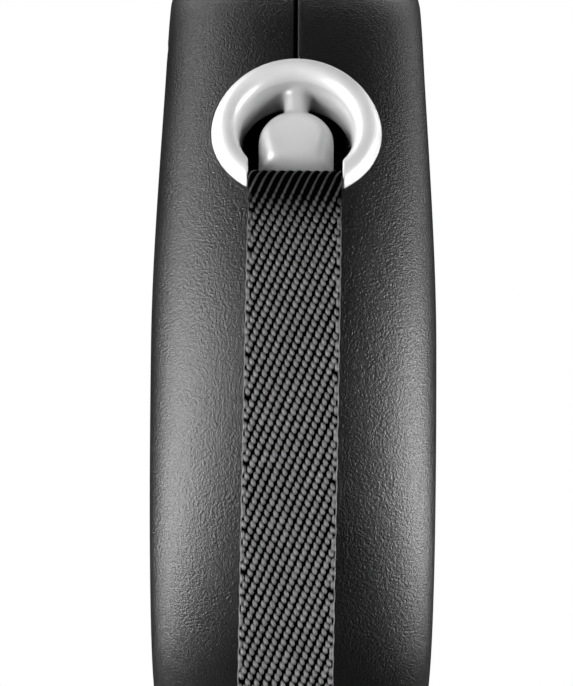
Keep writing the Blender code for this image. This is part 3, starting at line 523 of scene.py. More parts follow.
def cutter_box(size, centre, bevel):
    """A block with rounded edges."""
    bm = bmesh.new()
    bmesh.ops.create_cube(bm, size=1.0)
    bmesh.ops.scale(bm, verts=bm.verts, vec=size)
    bmesh.ops.bevel(bm, geom=bm.edges, offset=bevel, segments=6, profile=0.5, affect="EDGES")
    bm.verts.index_update()
    verts = np.array([v.co for v in bm.verts]) + centre
    faces = [[v.index for v in f.verts] for f in bm.faces]
    bm.free()
    return make("cutter", verts, faces)


def cutter_turned(profile, centre, axis, sides=96, flat=1.0):
    ob = make("cutter", *turned(profile, centre, axis, sides, flat))
    outward(ob.data)
    return ob


def carve(ob, cutters):
    """Cuts the cutters out of a piece and leaves its creases sharp."""
    for c in cutters:
        mod = ob.modifiers.new("cut", "BOOLEAN")
        mod.operation, mod.solver, mod.object = "DIFFERENCE", "EXACT", c
    deps = bpy.context.evaluated_depsgraph_get()
    mesh = bpy.data.meshes.new_from_object(ob.evaluated_get(deps))
    ob.modifiers.clear()
    old = ob.data
    ob.data = mesh
    bpy.data.meshes.remove(old)
    ob.data.shade_smooth()
    sharpen(ob, 38.0)


def screw_floor(y, z):
    """How far out a screw's head sits."""
    return HALF * float(thickness(y, z)) * SCREW_SHARE - SCREW_DEEP


def mouth_cutter():
    radius = RING_SEEN + 0.12
    centre = NOZZLE + (RING_X, 0, 0) + UP * RING_UP
    return cutter_turned(((radius, -18.0), (radius, 10.0)), centre, AXIS, 160, RING_FLAT)


def badge_cutters():
    recess = ((BADGE_R + 0.9, 0.0), (BADGE_R + 0.3, -0.55), (BADGE_R + 0.3, -BADGE_DEEP - 0.55))
    return [cutter_turned(recess, (s * (HALF + 0.6 - 0.05), 0, 0), (s, 0, 0)) for s in (-1, 1)]


def head_cutters():
    return [cutter_turned(((3.1, screw_floor(y, z)), (3.1, 30.0)), (0, y, z), (-1, 0, 0), 48)
            for y, z in SCREWS]


THUMB_WELL = cutter_box((15.9, 20.5, 16.0), BRAKE + (0, 0, 1.0), 1.9)
LOCK_WELL = cutter_box((8.5, 14.1, 16.0), BRAKE + (0, 23.0, 1.0), 1.5)
BOTH_CUTS = [mouth_cutter(), THUMB_WELL, LOCK_WELL] + badge_cutters()
HEAD_CUTS = head_cutters()
for side, label in ((-1, "left"), (1, "right")):
    half = casing_half("casing_shell_" + label, side)
    carve(half, BOTH_CUTS + (HEAD_CUTS if side < 0 else []))
    half.data.materials.clear()
    half.data.materials.append(ABS)
    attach(half, "casing")
    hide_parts("casing_" + label)
for c in BOTH_CUTS + HEAD_CUTS:
    bpy.data.objects.remove(c)


# ---- Moulded pieces from smooth distance functions
def blend_min(a, b, k):
    """Union of two distances with a soft joint of a width."""
    h = np.clip(0.5 + 0.5 * (b - a) / k, 0.0, 1.0)
    return b + (a - b) * h - k * h * (1.0 - h)


def blend_max(a, b, k):
    return -blend_min(-a, -b, k)


def block(x, y, z, centre, half, r):
    """Distance to a rounded block."""
    q = [np.abs(v - c) - h + r for v, c, h in zip((x, y, z), centre, half)]
    out = np.sqrt(sum(np.maximum(v, 0.0) ** 2 for v in q))
    return out + np.minimum(np.maximum(np.maximum(q[0], q[1]), q[2]), 0.0) - r


def plate2(a, b, centre, half, r):
    """Distance to a rounded rectangle in two directions."""
    qa, qb = np.abs(a - centre[0]) - half[0] + r, np.abs(b - centre[1]) - half[1] + r
    return np.sqrt(np.maximum(qa, 0) ** 2 + np.maximum(qb, 0) ** 2) + np.minimum(np.maximum(qa, qb), 0) - r


def stick(x, y, z, a, b, radius):
    """Distance to a round bar with round ends."""
    ab = [q - p for p, q in zip(a, b)]
    t = ((x - a[0]) * ab[0] + (y - a[1]) * ab[1] + (z - a[2]) * ab[2]) / sum(v * v for v in ab)
    t = np.clip(t, 0.0, 1.0)
    d = np.sqrt((x - a[0] - ab[0] * t) ** 2 + (y - a[1] - ab[1] * t) ** 2 + (z - a[2] - ab[2] * t) ** 2)
    return d - radius


def drum_can(r, h, low, high, radius, edge):
    """Distance to a can, from a radius and a height."""
    return plate2(r, h, (0.0, (low + high) / 2), (radius, (high - low) / 2), edge)


CORNERS = np.array([(i, j, k) for i in (0, 1) for j in (0, 1) for k in (0, 1)])
EDGES = [(a, b) for a in range(8) for b in range(a + 1, 8) if np.abs(CORNERS[a] - CORNERS[b]).sum() == 1]


def skin(dist, lo, hi, step):
    """Vertices and quads of the surface where a distance function is zero."""
    lo = np.array(lo, float)
    n = [int(math.ceil((h - l) / step)) + 1 for l, h in zip(lo, hi)]
    ax = [lo[i] + step * np.arange(n[i]) for i in range(3)]
    f = np.empty(n, np.float32)
    gy, gz = np.meshgrid(ax[1], ax[2], indexing="ij")
    for i, x in enumerate(ax[0]):
        f[i] = dist(np.full_like(gy, x), gy, gz)
    inside = f < 0
    m = [v - 1 for v in n]
    count = sum(inside[i:i + m[0], j:j + m[1], k:k + m[2]].astype(np.int8) for i, j, k in CORNERS)
    active = (count > 0) & (count < 8)
    cells = np.argwhere(active)
    idx = np.full(active.shape, -1, np.int64)
    idx[active] = np.arange(len(cells))
    vals = [f[tuple((cells + c).T)] for c in CORNERS]
    pos, num = np.zeros((len(cells), 3)), np.zeros(len(cells))
    for a, b in EDGES:
        hit = (vals[a] < 0) != (vals[b] < 0)
        t = vals[a][hit] / (vals[a][hit] - vals[b][hit])
        pos[hit] += CORNERS[a] + t[:, None] * (CORNERS[b] - CORNERS[a])
        num[hit] += 1
    pos = lo + step * (cells + pos / num[:, None])
    faces = []
    for axis in range(3):
        o1, o2 = [(1, 2), (2, 0), (0, 1)][axis]
        low = [slice(1, -1)] * 3
        high = [slice(1, -1)] * 3
        low[axis], high[axis] = slice(0, -1), slice(1, None)
        a, b = inside[tuple(low)], inside[tuple(high)]
        at = np.argwhere(a != b)
        out = a[tuple(at.T)]
        at = at + [0 if k == axis else 1 for k in range(3)]
        e1, e2 = np.eye(3, dtype=int)[o1], np.eye(3, dtype=int)[o2]
        quad = np.stack([idx[tuple((at - d).T)] for d in (e1 + e2, e2, 0, e1)], 1)
        quad[~out] = quad[~out][:, ::-1]
        faces.append(quad)
    faces = np.concatenate(faces)
    eps = 0.02
    for _ in range(2):
        v = dist(*pos.T)
        grad = np.stack([(dist(*(pos + e).T) - dist(*(pos - e).T)) / (2 * eps) for e in np.eye(3) * eps], 1)
        size = np.maximum((grad ** 2).sum(1), 0.05)
        move = np.clip(v / size, -step, step)
        pos -= grad * move[:, None]
    return pos, faces


def knob_shape(x, a, u):
    """The knob: an arch with a flat face, rounded edges and a fuller rounding at its foot."""
    r = np.sqrt(x * x + np.maximum(u - KNOB_TOP + KNOB_R, 0.0) ** 2) - KNOB_R
    side = blend_max(r, KNOB_LOW - u, 1.6)
    edge = 2.0 + 2.4 * np.clip((1.0 - u) / 6.0, 0.0, 1.0)
    return np.maximum(round_max(side, a - KNOB_FACE, edge), -8.0 - a)


def round_max(a, b, r):
    """Intersection with a rounded edge of a radius."""
    corner = np.hypot(np.maximum(a + r, 0.0), np.maximum(b + r, 0.0))
    return np.minimum(np.maximum(a, b), -r) + corner


def ring_shape(x, a, u):
    """The nozzle's moulding, from across, along its axis and up."""
    r = np.sqrt(x * x + ((u - RING_UP) / RING_FLAT) ** 2)
    s = a + 0.0073 * x * x            # the ring's sides lie back a little, as the nose does
    bezel = np.sqrt((r - RING_SEEN + BEZEL_R) ** 2 + (s + 1.2) ** 2) - BEZEL_R
    wall = THROAT_R + 0.75 * (np.clip(s + 6.3, 0.0, 6.0) / 5.1) ** 2 + 0.5 * np.clip(-8.0 - s, 0.0, 3.0)
    tube = np.maximum(np.maximum(r - RING_SEEN, wall - r), np.maximum(s + 1.2, -RING_DEPTH - a))
    body = blend_min(bezel, tube, 0.5)
    lane = plate2(x, u, (LANE_X, -20.44), (LANE_HALF, 19.6), 0.3)
    body = blend_max(body, -lane, 0.3)
    sill = plate2(a, u, (-RING_DEPTH / 2, -SILL - 5.5), (RING_DEPTH / 2, 5.5), LIP_R)
    sill = np.maximum(sill, np.abs(x - LANE_X) - LANE_HALF + 0.05)
    sill = blend_max(sill, r - RING_SEEN + 0.1, 1.6)
    body = np.minimum(body, sill)
    wide = 1.75 + 0.045 * np.clip(u - 4.0, 0, 9) ** 1.5
    neck = plate2(x, a, (0.0, -5.7), (1.0, 1.75), 0.8) - (wide - 1.0)
    neck = np.maximum(neck, np.maximum(3.0 - u, u - 11.5))
    body = blend_min(body, neck, 1.0)
    body = blend_min(body, knob_shape(x, a, u), 0.5)
    y, z = (NOZZLE[i] + a * AXIS[i] + u * UP[i] for i in (1, 2))
    return np.maximum(body, REEL_ROOM - np.hypot(y, z))


def moulded(name, shape, low, high, step, mat, body, slot, node):
    """A piece from a distance function, standing for a CAD node."""
    ob = make(name, *skin(shape, low, high, step), mat, body, slot)
    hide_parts(node)
    return ob


pos, quads = skin(ring_shape, (-14.2, -11.2, -14.2), (14.2, 1.6, 14.2), 0.2)
pos[:, 0] += RING_X
ring = make("nozzle_trim", nozzle_to_drum(pos), quads[:, ::-1], SILVER, "casing", "silver_plastic")
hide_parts("nozzle_ring")


# ---- Tape
def contour(z, out):
    """A point off the nose's curve."""
    a = math.asin((z - NOSE_Z) / NOSE_RADIUS)
    r = NOSE_RADIUS + out
    return np.array((0.0, NOSE_Y - r * math.cos(a), NOSE_Z + r * math.sin(a)))


def lip_point(degrees):
    """A point of the tape's middle line round the lip."""
    a = math.radians(degrees)
    return LIP + np.array((0.0, BEND * math.cos(a), BEND * math.sin(a)))


def at_nozzle(along, up):
    return NOZZLE + AXIS * along + UP * up


def lengths(path):
    """Distance along a polyline at each of its points."""
    return np.concatenate(([0], np.cumsum(np.linalg.norm(np.diff(path, axis=0), axis=1))))


def even(points, step):
    """Points at an even spacing along a polyline."""
    points = np.asarray(points, float)
    s = lengths(points)
    t = np.linspace(0, s[-1], int(round(s[-1] / step)) + 1)
    return np.stack([np.interp(t, s, points[:, k]) for k in range(3)], 1)


def soften(points, width, step):
    """Evens out corners of a finely spaced line over a width."""
    k = int(width / step)
    pad = np.concatenate((2 * points[0] - points[k:0:-1], points, 2 * points[-1] - points[-2:-k - 2:-1]))
    kernel = np.hanning(2 * k + 3)[1:-1]
    kernel /= kernel.sum()
    return np.stack([np.convolve(pad[:, i], kernel, "same")[k:k + len(points)] for i in range(3)], 1)


def float_height(u, s, half):
    """Height of the woven floats over the face: 0 in the grooves, 1 on top."""
    c1 = np.round(FREQ[0, 0] * u + FREQ[0, 1] * s)
    c2 = np.round(FREQ[1, 0] * u + FREQ[1, 1] * s)
    ca, sa = math.cos(FLOAT_LEAN), math.sin(FLOAT_LEAN)
    best = np.zeros_like(u)
    for i in (-1, 0, 1):
        for j in (-2, -1, 0, 1, 2):
            ka, kb = c1 + i, c2 + j
            dice = np.sin(ka * 12.9898 + kb * 78.233) * 43758.5453
            dice = dice - np.floor(dice) - 0.5
            cu = ka * STEP_A[0] + kb * STEP_B[0] + 0.05 * dice
            cs = ka * STEP_A[1] + kb * STEP_B[1] + 0.06 * np.sin(9.0 * dice)
            du, ds = u - cu, s - cs
            p = (du * ca + ds * sa) / (FLOAT_W * (1 + 0.1 * dice))
            q = (-du * sa + ds * ca) / FLOAT_L
            q = q + 0.15 * q * q
            whole = np.abs(cu) < half - 0.42
            dome = (1 + 0.12 * dice) * np.sqrt(np.clip(1 - p * p - q * q, 0, 1))
            best = np.maximum(best, np.where(whole, dome, 0))
    return np.clip(best, 0, 1)


def ridge_height(u, s):
    """Height of the ridges where the tape is pulled so tight that its floats run together."""
    turn = FREQ[0, 0] * u + FREQ[0, 1] * s
    p = (turn - np.round(turn)) / 0.18
    return np.sqrt(np.clip(1 - p * p, 0, 1))


def selvedge(u, s, half):
    """The edge: a thin thread, with a bigger float where each ridge ends."""
    sign = np.sign(u)
    turn = s * FREQ[0, 1] + sign * half * FREQ[0, 0]
    k = np.round(turn)
    cs = (k - sign * half * FREQ[0, 0]) / FREQ[0, 1]
    p, q = (np.abs(u) - half + 0.46) / 0.42, (s - cs) / 0.82
    knot = 0.95 * np.sqrt(np.clip(1 - p * p - q * q, 0, 1))
    r = (np.abs(u) - half + 0.17 + 0.06 * np.cos(math.tau * (turn - k))) / 0.19
    return np.maximum(knot, 0.72 * np.sqrt(np.clip(1 - r * r, 0, 1)))


RELIEF = 0.42                        # from the grooves to the floats' tops
LIP_RISE = 0.34                      # the share of it that is left where the lip presses the tape; as the colour follows it, this also paints the tape darker there as shade
RIDGE_RISE = 0.42                    # the ridges' height where the tape is taut


def band(name, path, cols, back_cols, body=None, lean=None, start=0.0):
    """A woven band along a finely spaced path. The front lies on the outer side of its bend."""
    tangent = np.gradient(path, axis=0)
    tangent /= np.linalg.norm(tangent, axis=1)[:, None]
    side = (1.0, 0.0, 0.0) - tangent * tangent[:, :1]
    side /= np.linalg.norm(side, axis=1)[:, None]
    out = np.cross(tangent, side)

    def near_lip(over, width):
        """1 on the lip and over it, fading out below."""
        return np.exp(-(np.clip(LIP[2] + over - path[:, 2], 0, None) / width) ** 2)[:, None]

    half = (TAPE_W - 0.15) / 2
    squeeze = 1 - 0.016 * np.exp(-((path[:, 2] - LIP[2] - 3.0) / 7.0) ** 2)
    u, s = np.meshgrid(np.linspace(-half, half, cols), start + lengths(path))
    back_u, back_s = np.meshgrid(np.linspace(half, -half, back_cols + 2)[1:-1], start + lengths(path))
    # Near the lip the floats are pressed flat and give way to low ridges. Since colour and reflection follow
    # the rise, this also paints the tape darker there, as the shade where it bends up under the ring.
    lip_press_and_shade = 1 - (1 - LIP_RISE) * near_lip(3.5, 7.5)
    woven = np.maximum(float_height(u, s, half), selvedge(u, s, half)) * lip_press_and_shade
    h = woven + (RIDGE_RISE * ridge_height(u, s) - woven) * near_lip(3.0, 3.5)
    edge = np.clip((np.abs(u) - half + 0.3) / 0.3, 0, 1)
    front_z = TAPE_T / 2 - RELIEF * (1 - h) - 0.35 * TAPE_T * edge ** 2
    back_edge = np.clip((np.abs(back_u) - half + 0.5) / 0.5, 0, 1)
    back_z = 0.06 - TAPE_T / 2 * np.sqrt(np.clip(1 - back_edge ** 2, 0.02, 1))
    across = np.concatenate((u - np.sign(u) * edge * 0.12 * (1 - h), back_u), 1) * squeeze[:, None]
    z = np.concatenate((front_z, back_z), 1)
    rings = path[:, None] + side[:, None] * across[..., None] + out[:, None] * z[..., None]
    if lean is not None:
        rings[..., 0] += lean(path[:, 2])[:, None]
    verts, faces = tube(rings)
    uv = np.stack([np.concatenate(pair, 1).ravel() for pair in ((u, back_u), (s, back_s))], 1) * 0.01
    ob = make(name, verts, [f[::-1] for f in faces], WEB, body, "black_webbing", uv)
    # the rise sets the painted shade: dark in the grooves and on the tape near the lip
    rise = np.concatenate((h, np.full_like(back_u, 0.5)), 1).ravel().astype(np.float32)
    ob.data.attributes.new("rise", "FLOAT", "POINT").data.foreach_set("value", rise)
    return ob


def tape_lean(z):
    """Sideways drift of the hanging tape, back in line by the sewn end."""
    down = np.clip((38.0 - z) / 79.0, 0, 1)
    back = np.clip((-45.0 - z) / 55.0, 0, 1)
    return (0.06 - 1.05 * down) * (1 - back * back * (3 - 2 * back))


FINE = 0.05
entry = at_nozzle(-9.6, TAPE_GAP + TAPE_T / 2 - SILL)
route = [entry, lip_point(60.0)]
route += [lip_point(60.0 + k * 2.0) for k in range(1, 49)]
route += [lip_point(REST), contour(30.0, HANG)]
route += [contour(30.0 - (30.0 - NOSE_Z) * k / 40, HANG) for k in range(1, 41)]
route += [np.array((0.0, HANG_Y, z)) for z in np.linspace(-8.0, LOOP_TOP, 40)]
strap_path = soften(even(route, FINE), 1.6, FINE)
FINE_TO = -46.0                      # the tape has its finest mesh from the lip down to here
seen = strap_path[strap_path[:, 2] > FINE_TO]
unseen = strap_path[strap_path[:, 2] <= FINE_TO]
cut = int(np.argmax(seen[:, 1] < at_nozzle(-1.5, 0)[1]))
rows = np.concatenate((even(seen[:cut], 0.4)[:-1], even(seen[cut:], 0.155),
                       even(unseen, 0.4)[1:]))
strap = band("tape_strap", rows, 121, 14, lean=tape_lean)
line = even(strap_path, 4.0)
line[:, 0] += tape_lean(line[:, 2])

# where the tape leaves the wound tape and reaches the throat
LEAVE_R = PACK_R + 0.8
lift = math.atan2(entry[2], entry[1]) - math.acos(LEAVE_R / math.hypot(entry[1], entry[2]))
leave = np.array((0.0, LEAVE_R * math.cos(lift), LEAVE_R * math.sin(lift)))
inner_path = soften(even([leave, entry], 0.1), 1.0, 0.1)
lead = band("tape_lead_in", even(inner_path, 0.4), 41, 12, "casing")
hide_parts("tape_lead")

# sewn end round the hook's bar
WRAP_R = BAR_R + 0.35 + TAPE_T / 2
back = TAPE_T / 2 + 0.12
loop = [(0.0, HANG_Y - back, LOOP_TOP), (0.0, HANG_Y - back, BAR_Z + 7.0)]
for k in range(25):
    a = math.radians(118.0 + 304.0 * k / 24)
    loop.append((0.0, HANG_Y + WRAP_R * math.cos(a), BAR_Z + WRAP_R * math.sin(a)))
loop += [(0.0, HANG_Y + back, BAR_Z + 7.0), (0.0, HANG_Y + back, LOOP_TOP)]
loop_path = soften(even(loop, FINE), 1.4, FINE)
sewn = band("tape_sewn_end", even(loop_path, 0.3), 61, 10, "tape", start=160.0)
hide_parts("tape_loop")
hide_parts("tape_free", "tape_bend")


# stitches through the doubled tape
def stitch(start, end, y, sign):
    """A raised thread between two (across, up) places on a face of the tape."""
    run = np.array((end[0] - start[0], 0.0, end[1] - start[1]))
    beside = np.array((-run[2], 0.0, run[0])) / np.linalg.norm(run)
    rings = []
    for i in range(7):
        bow = math.sin(math.pi * i / 6)
        centre = np.array((start[0], y + sign * (0.16 * bow - 0.12), start[1])) + run * i / 6
        r = 0.17 * (0.55 + 0.45 * bow ** 0.5)
        rings.append([centre + beside * r * math.cos(a) + (0, r * math.sin(a), 0) for a in around(8)])
    return tube(rings)


def stitch_places():
    for x in (-5.6, -1.9, 1.9, 5.6):
        for k in range(13):
            z = LOOP_TOP - 15.6 - k * 1.75
            yield (x, z), (x, z - 1.35)
    for z in (LOOP_TOP - 15.2, LOOP_TOP - 38.6):
        for k in range(8):
            x = -5.4 + k * 1.42
            yield (x, z), (x + 1.1, z)


THREAD = black_grain("thread_look", 6000.0, 0.4, 0.05, 0.6)
face_y = back + TAPE_T / 2 + 0.02
threads = joined([stitch(a, b, HANG_Y + sign * face_y, sign) for a, b in stitch_places() for sign in (-1, 1)])
stitches = make("tape_stitches", *threads, THREAD, "tape", "black_webbing")

# moulded sleeve over the seam
def sleeve_shape(x, y, z):
    zz = z - (LOOP_TOP - 6.0)
    grip = 0.12 * np.cos(zz * math.tau / 2.3) * (np.abs(zz) < 5.2)
    outside = block(x, y - HANG_Y, zz, (0, 0, 0), (9.2, 2.8, 7.5), 1.3) - grip
    inside = plate2(x, y - HANG_Y, (0, 0), (TAPE_W / 2 + 0.2, back + TAPE_T / 2 + 0.12), 0.3)
    return blend_max(outside, -inside, 0.4)


sleeve = moulded("seam_cover", sleeve_shape, (-9.8, HANG_Y - 3.4, LOOP_TOP - 14.2),
                 (9.8, HANG_Y + 3.4, LOOP_TOP + 2.2), 0.22, RUBBER, "tape", "black_rubber", "seam_sleeve")


# ---- Snap hook
def eye_shape(x, y, z):
    """A D-shaped eye with a collar that the hook's post turns in."""
    yy, zz = y - HANG_Y, z - BAR_Z
    path = [(-9.9, 0.0), (9.9, 0.0), (10.3, -3.0), (9.6, -6.5), (6.8, -10.2), (3.6, -12.2), (-3.6, -12.2),
            (-6.8, -10.2), (-9.6, -6.5), (-10.3, -3.0)]
    d = None
    for (x0, z0), (x1, z1) in zip(path, path[1:] + path[:1]):
        s = stick(x, yy, zz, (x0, 0, z0), (x1, 0, z1), BAR_R)
        d = s if d is None else blend_min(d, s, 0.5)
    r = np.sqrt(x * x + yy * yy)
    d = blend_min(d, drum_can(r, zz, -15.0, -10.6, 4.9, 0.7), 0.8)
    return blend_max(d, -(drum_can(r, zz, -22.0, -4.0, 2.3, 0.3)), 0.3)


eye = moulded("swivel_eye", eye_shape, (-13.0, HANG_Y - 5.6, BAR_Z - 16.0),
              (13.0, HANG_Y + 5.6, BAR_Z + 2.8), 0.24, CHROME, "eye", "chromed_zinc", "hook_eye")

# the hook's middle line, across and up from the eye's bar
JAY = [(-3.4, -35.0), (-5.6, -40.0), (-9.0, -44.5), (-11.2, -50.5), (-11.4, -57.5), (-9.4, -64.0),
       (-5.0, -68.9), (0.6, -70.6), (6.2, -69.2), (10.2, -65.2), (11.4, -60.4), (10.0, -56.0), (6.4, -53.4),
       (3.6, -53.1)]


def catmull(points, steps):
    """A smooth open line through the points."""
    out = []
    n = len(points)
    for i in range(n - 1):
        p0, p1, p2, p3 = (np.array(points[max(0, min(n - 1, i + k))]) for k in (-1, 0, 1, 2))
        for s in range(steps):
            t = s / steps
            out.append(0.5 * ((2 * p1) + (p2 - p0) * t + (2 * p0 - 5 * p1 + 4 * p2 - p3) * t * t
                              + (3 * p1 - p0 - 3 * p2 + p3) * t ** 3))
    return out + [np.array(points[-1])]


JAY_FINE = catmull(JAY, 2)


def hook_shape(x, y, z):
    """Post and rivet head, barrel with the bolt's bore and slot, and the round jaw."""
    yy, zz = y - HANG_Y, z - BAR_Z
    r = np.sqrt(x * x + yy * yy)
    post = drum_can(r, zz, -18.0, -9.4, 2.0, 0.3)
    rivet = blend_max(drum_can(r, zz, -10.2, -8.6, 3.3, 0.5), r + (zz + 8.6) * 0.9 - 2.8, 0.5)
    shoulder = drum_can(r, zz, -18.6, -15.4, 4.9, 0.8)
    d = blend_min(np.minimum(post, rivet), shoulder, 0.3)
    barrel = block(x, yy, zz, (0.4, 0.0, -28.7), (6.8, 4.2, 11.3), 2.2)
    d = blend_min(d, barrel, 1.2)
    jaw = None
    for a, b in zip(JAY_FINE, JAY_FINE[1:]):
        s = stick(x, yy, zz, (a[0], 0, a[1]), (b[0], 0, b[1]), 2.7)
        jaw = s if jaw is None else np.minimum(jaw, s)
    d = blend_min(d, jaw, 1.0)
    rb = np.sqrt((x - BOLT_X) ** 2 + yy * yy)
    bore = drum_can(rb, zz, -42.0, -19.0, 2.5, 0.2)
    slot = block(x, yy, zz, (BOLT_X, -4.5, -29.2), (1.9, 4.0, 7.7), 1.8)
    seat = drum_can(rb, zz, -51.0, -50.35, 2.4, 0.1)
    return np.maximum(blend_max(blend_max(d, -bore, 0.3), -slot, 0.4), -seat)


hook = moulded("snap_hook_body", hook_shape, (-14.9, HANG_Y - 5.8, BAR_Z - 74.2),
               (14.9, HANG_Y + 5.8, BAR_Z - 7.8), 0.26, CHROME, "hook", "chromed_zinc", "hook_body")


def bolt_shape(x, y, z):
    """A rod with a knurled thumb stud."""
    yy, zz = y - HANG_Y, z - BAR_Z
    rb = np.sqrt((x - BOLT_X) ** 2 + yy * yy)
    rod = drum_can(rb, zz, -50.0, -31.0, 2.15, 0.35)
    ra = np.sqrt((x - BOLT_X) ** 2 + (zz + 34.0) ** 2)
    arm = drum_can(ra, yy, -6.4, -1.0, 1.6, 0.1)
    head = drum_can(ra - 0.07 * np.cos(18 * np.arctan2(zz + 34.0, x - BOLT_X)), yy, -7.9, -5.3, 2.95, 0.6)
    return blend_min(blend_min(rod, arm, 0.4), head, 0.4)


bolt = moulded("snap_bolt", bolt_shape, (BOLT_X - 3.6, HANG_Y - 8.6, BAR_Z - 50.8),
               (BOLT_X + 3.6, HANG_Y + 2.8, BAR_Z - 30.2), 0.2, CHROME, "bolt", "chromed_zinc", "hook_bolt")


# ---- Brake button and lock slider
def button_shape(x, y, z):
    """A dished, ribbed cap on its plate, with the stem that works the pawl."""
    yy, zz = y - BRAKE[1], z - BRAKE[2]
    cap = block(x, yy, zz, (0, 0, -1.5), (7.7, 10.0, 5.1), 1.7)
    dish = np.sqrt(x * x * 0.35 + (yy * 0.8) ** 2 + (zz - 33.6) ** 2) - 31.0
    cap = blend_max(cap, -dish, 1.0)
    for k in range(-3, 4):
        place = (2.0 * k, 2.72 + 0.011 * (2.0 * k) ** 2)
        rib = stick(x, yy, zz, (-4.4, *place), (4.4, *place), 0.42)
        cap = blend_min(cap, rib, 0.35)
    plate = block(x, yy, zz, (0, 0, -6.8), (8.8, 11.5, 1.0), 0.3)
    stem = block(x, yy, zz, (5.5, -6.0, -10.4), (2.5, 2.5, 3.3), 0.4)
    return np.minimum(np.minimum(cap, plate), stem)


moulded("thumb_button", button_shape, BRAKE - (9.4, 12.2, 14.4), BRAKE + (9.4, 12.2, 4.6), 0.24,
        ABS_SOFT, "button", "black_abs", "brake_button")


def lock_shape(x, y, z):
    """A grooved cap on its slide, with the tongue that goes under the button."""
    yy, zz = y - BRAKE[1], z - BRAKE[2]
    cap = block(x, yy, zz, (0, 25.4, -2.2), (3.9, 4.0, 4.4), 1.0)
    for k in range(-1, 2):
        place = (25.4 + 1.9 * k, 2.3)
        groove = stick(x, yy, zz, (-5.0, *place), (5.0, *place), 0.45)
        cap = blend_max(cap, -groove, 0.25)
    under = block(x, yy, zz, (0, 25.5, -6.8), (6.25, 5.5, 1.1), 0.25)
    riser = block(x, yy, zz, (0, 27.0, -8.0), (4.0, 3.0, 1.7), 0.1)
    tongue = block(x, yy, zz, (0, 23.15, -9.2), (4.0, 7.85, 1.1), 0.2)
    return np.minimum(np.minimum(cap, under), np.minimum(riser, tongue))


moulded("lock_slide_cap", lock_shape, BRAKE + (-6.9, 13.2, -11.0), BRAKE + (6.9, 31.8, 3.0), 0.22,
        SATIN, "lock", "silver_plastic", "lock_slider")


# ---- Coil springs
def spring(name, wire, radius, length, turns, foot, body, node):
    """An open coil on its foot."""
    per_turn = 24
    steps = turns * per_turn
    rings = []
    for i in range(steps + 1):
        a = math.tau * i / per_turn
        out = np.array((math.cos(a), math.sin(a), 0.0))
        centre = foot + out * radius + (0, 0, wire + (length - 2 * wire) * i / steps)
        rings.append([centre + out * wire * math.cos(b) + (0, 0, wire * math.sin(b)) for b in around(10)])
    ob = make(name, *tube(rings), STEEL, body, "spring_steel")
    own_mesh(ob)
    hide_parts(node)
    return ob


spring("brake_coil", 0.4, 2.4, 8.3, 5, BRAKE + (-4.5, 2.0, -16.35), "casing",
       "brake_spring")
bolt_coil = spring("bolt_coil", 0.3, 1.6, 11.2, 6, np.array((BOLT_X, HANG_Y, BAR_Z - 30.7)), "hook",
                   "bolt_spring")


# ---- Screw wells: the cups that the casing's screws sit in
def well(y, z):
    low, top = screw_floor(y, z), HALF * float(thickness(y, z)) - 1.2
    profile = [(1.6, low - 0.7), (3.7, low - 0.7), (3.7, top), (3.08, top), (3.08, low + 0.15), (2.95, low),
               (1.6, low)]
    rings = [[(-x, y + r * math.cos(a), z + r * math.sin(a)) for a in around(40)] for r, x in profile]
    return tube(rings, loop=True)


wells = make("screw_wells", *joined([well(y, z) for y, z in SCREWS]), ABS, "casing", "black_abs")
sharpen(wells, 40.0)

# ---- Side badges: turned discs with a raised rim
DISC = [(0.5, 1.2), (12.0, 1.2), (15.6, 1.2), (16.0, 0.95), (16.6, 0.95), (17.0, 1.2), (18.0, 1.2),
        (BADGE_R - 0.6, 1.2), (BADGE_R - 0.25, 1.1), (BADGE_R - 0.05, 0.85), (BADGE_R, 0.6), (BADGE_R, 0.0)]
for s, label in ((-1, "left"), (1, "right")):
    disc = turned(DISC, (s * (HALF - BADGE_DEEP + 0.3), 0, 0), (s, 0, 0))
    badge = make("side_disc_" + label, *disc, SATIN, "casing", "silver_plastic")
    sharpen(badge, 32.0)
    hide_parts("badge_" + label)


# ---- Wound tape: one spiral
def wound_tape(inner, outer, pitch, thick):
    per_turn = 72
    n = int((outer - inner) / pitch * per_turn)
    i = np.arange(n + 1)
    r = inner + (outer - inner) * i / n
    a = math.tau * i / per_turn
    dr, dx = thick / 2, TAPE_W / 2
    corners = ((-dr, -dx), (dr, -dx), (dr, dx), (-dr, dx))
    rings = [np.stack((np.full(n + 1, x), (r + out) * np.cos(a), (r + out) * np.sin(a)), 1)
             for out, x in corners]
    uv = np.stack((np.tile([x / 100 for _, x in corners], n + 1), np.repeat(r * a / 100, 4)), 1)
    ob = make("tape_coils", *tube(np.stack(rings, 1)), WEB, "reel", "black_webbing", uv)
    sharpen(ob, 40.0)
    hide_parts("tape_winding")


wound_tape(HUB_R + 0.9, PACK_R - 0.5, 1.02, 0.96)

# ---- Carried-over CAD nodes
STEEL_NODES = ["axle", "power_spring", "pawl_pin"] + ["casing_screw_%d" % (i + 1) for i in range(len(SCREWS))]
GREY_NODES = ["spring_arbor", "bush_left", "bush_right", "reel_hub", "reel_flange", "spring_cover",
              "brake_pawl"]
for nodes, mat in ((STEEL_NODES, STEEL), (GREY_NODES, GREY)):
    for node in nodes:
        ob = frame["nodes"][node]
        ob.data.materials.clear()
        ob.data.materials.append(mat)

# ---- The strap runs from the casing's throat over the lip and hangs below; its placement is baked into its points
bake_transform(strap)

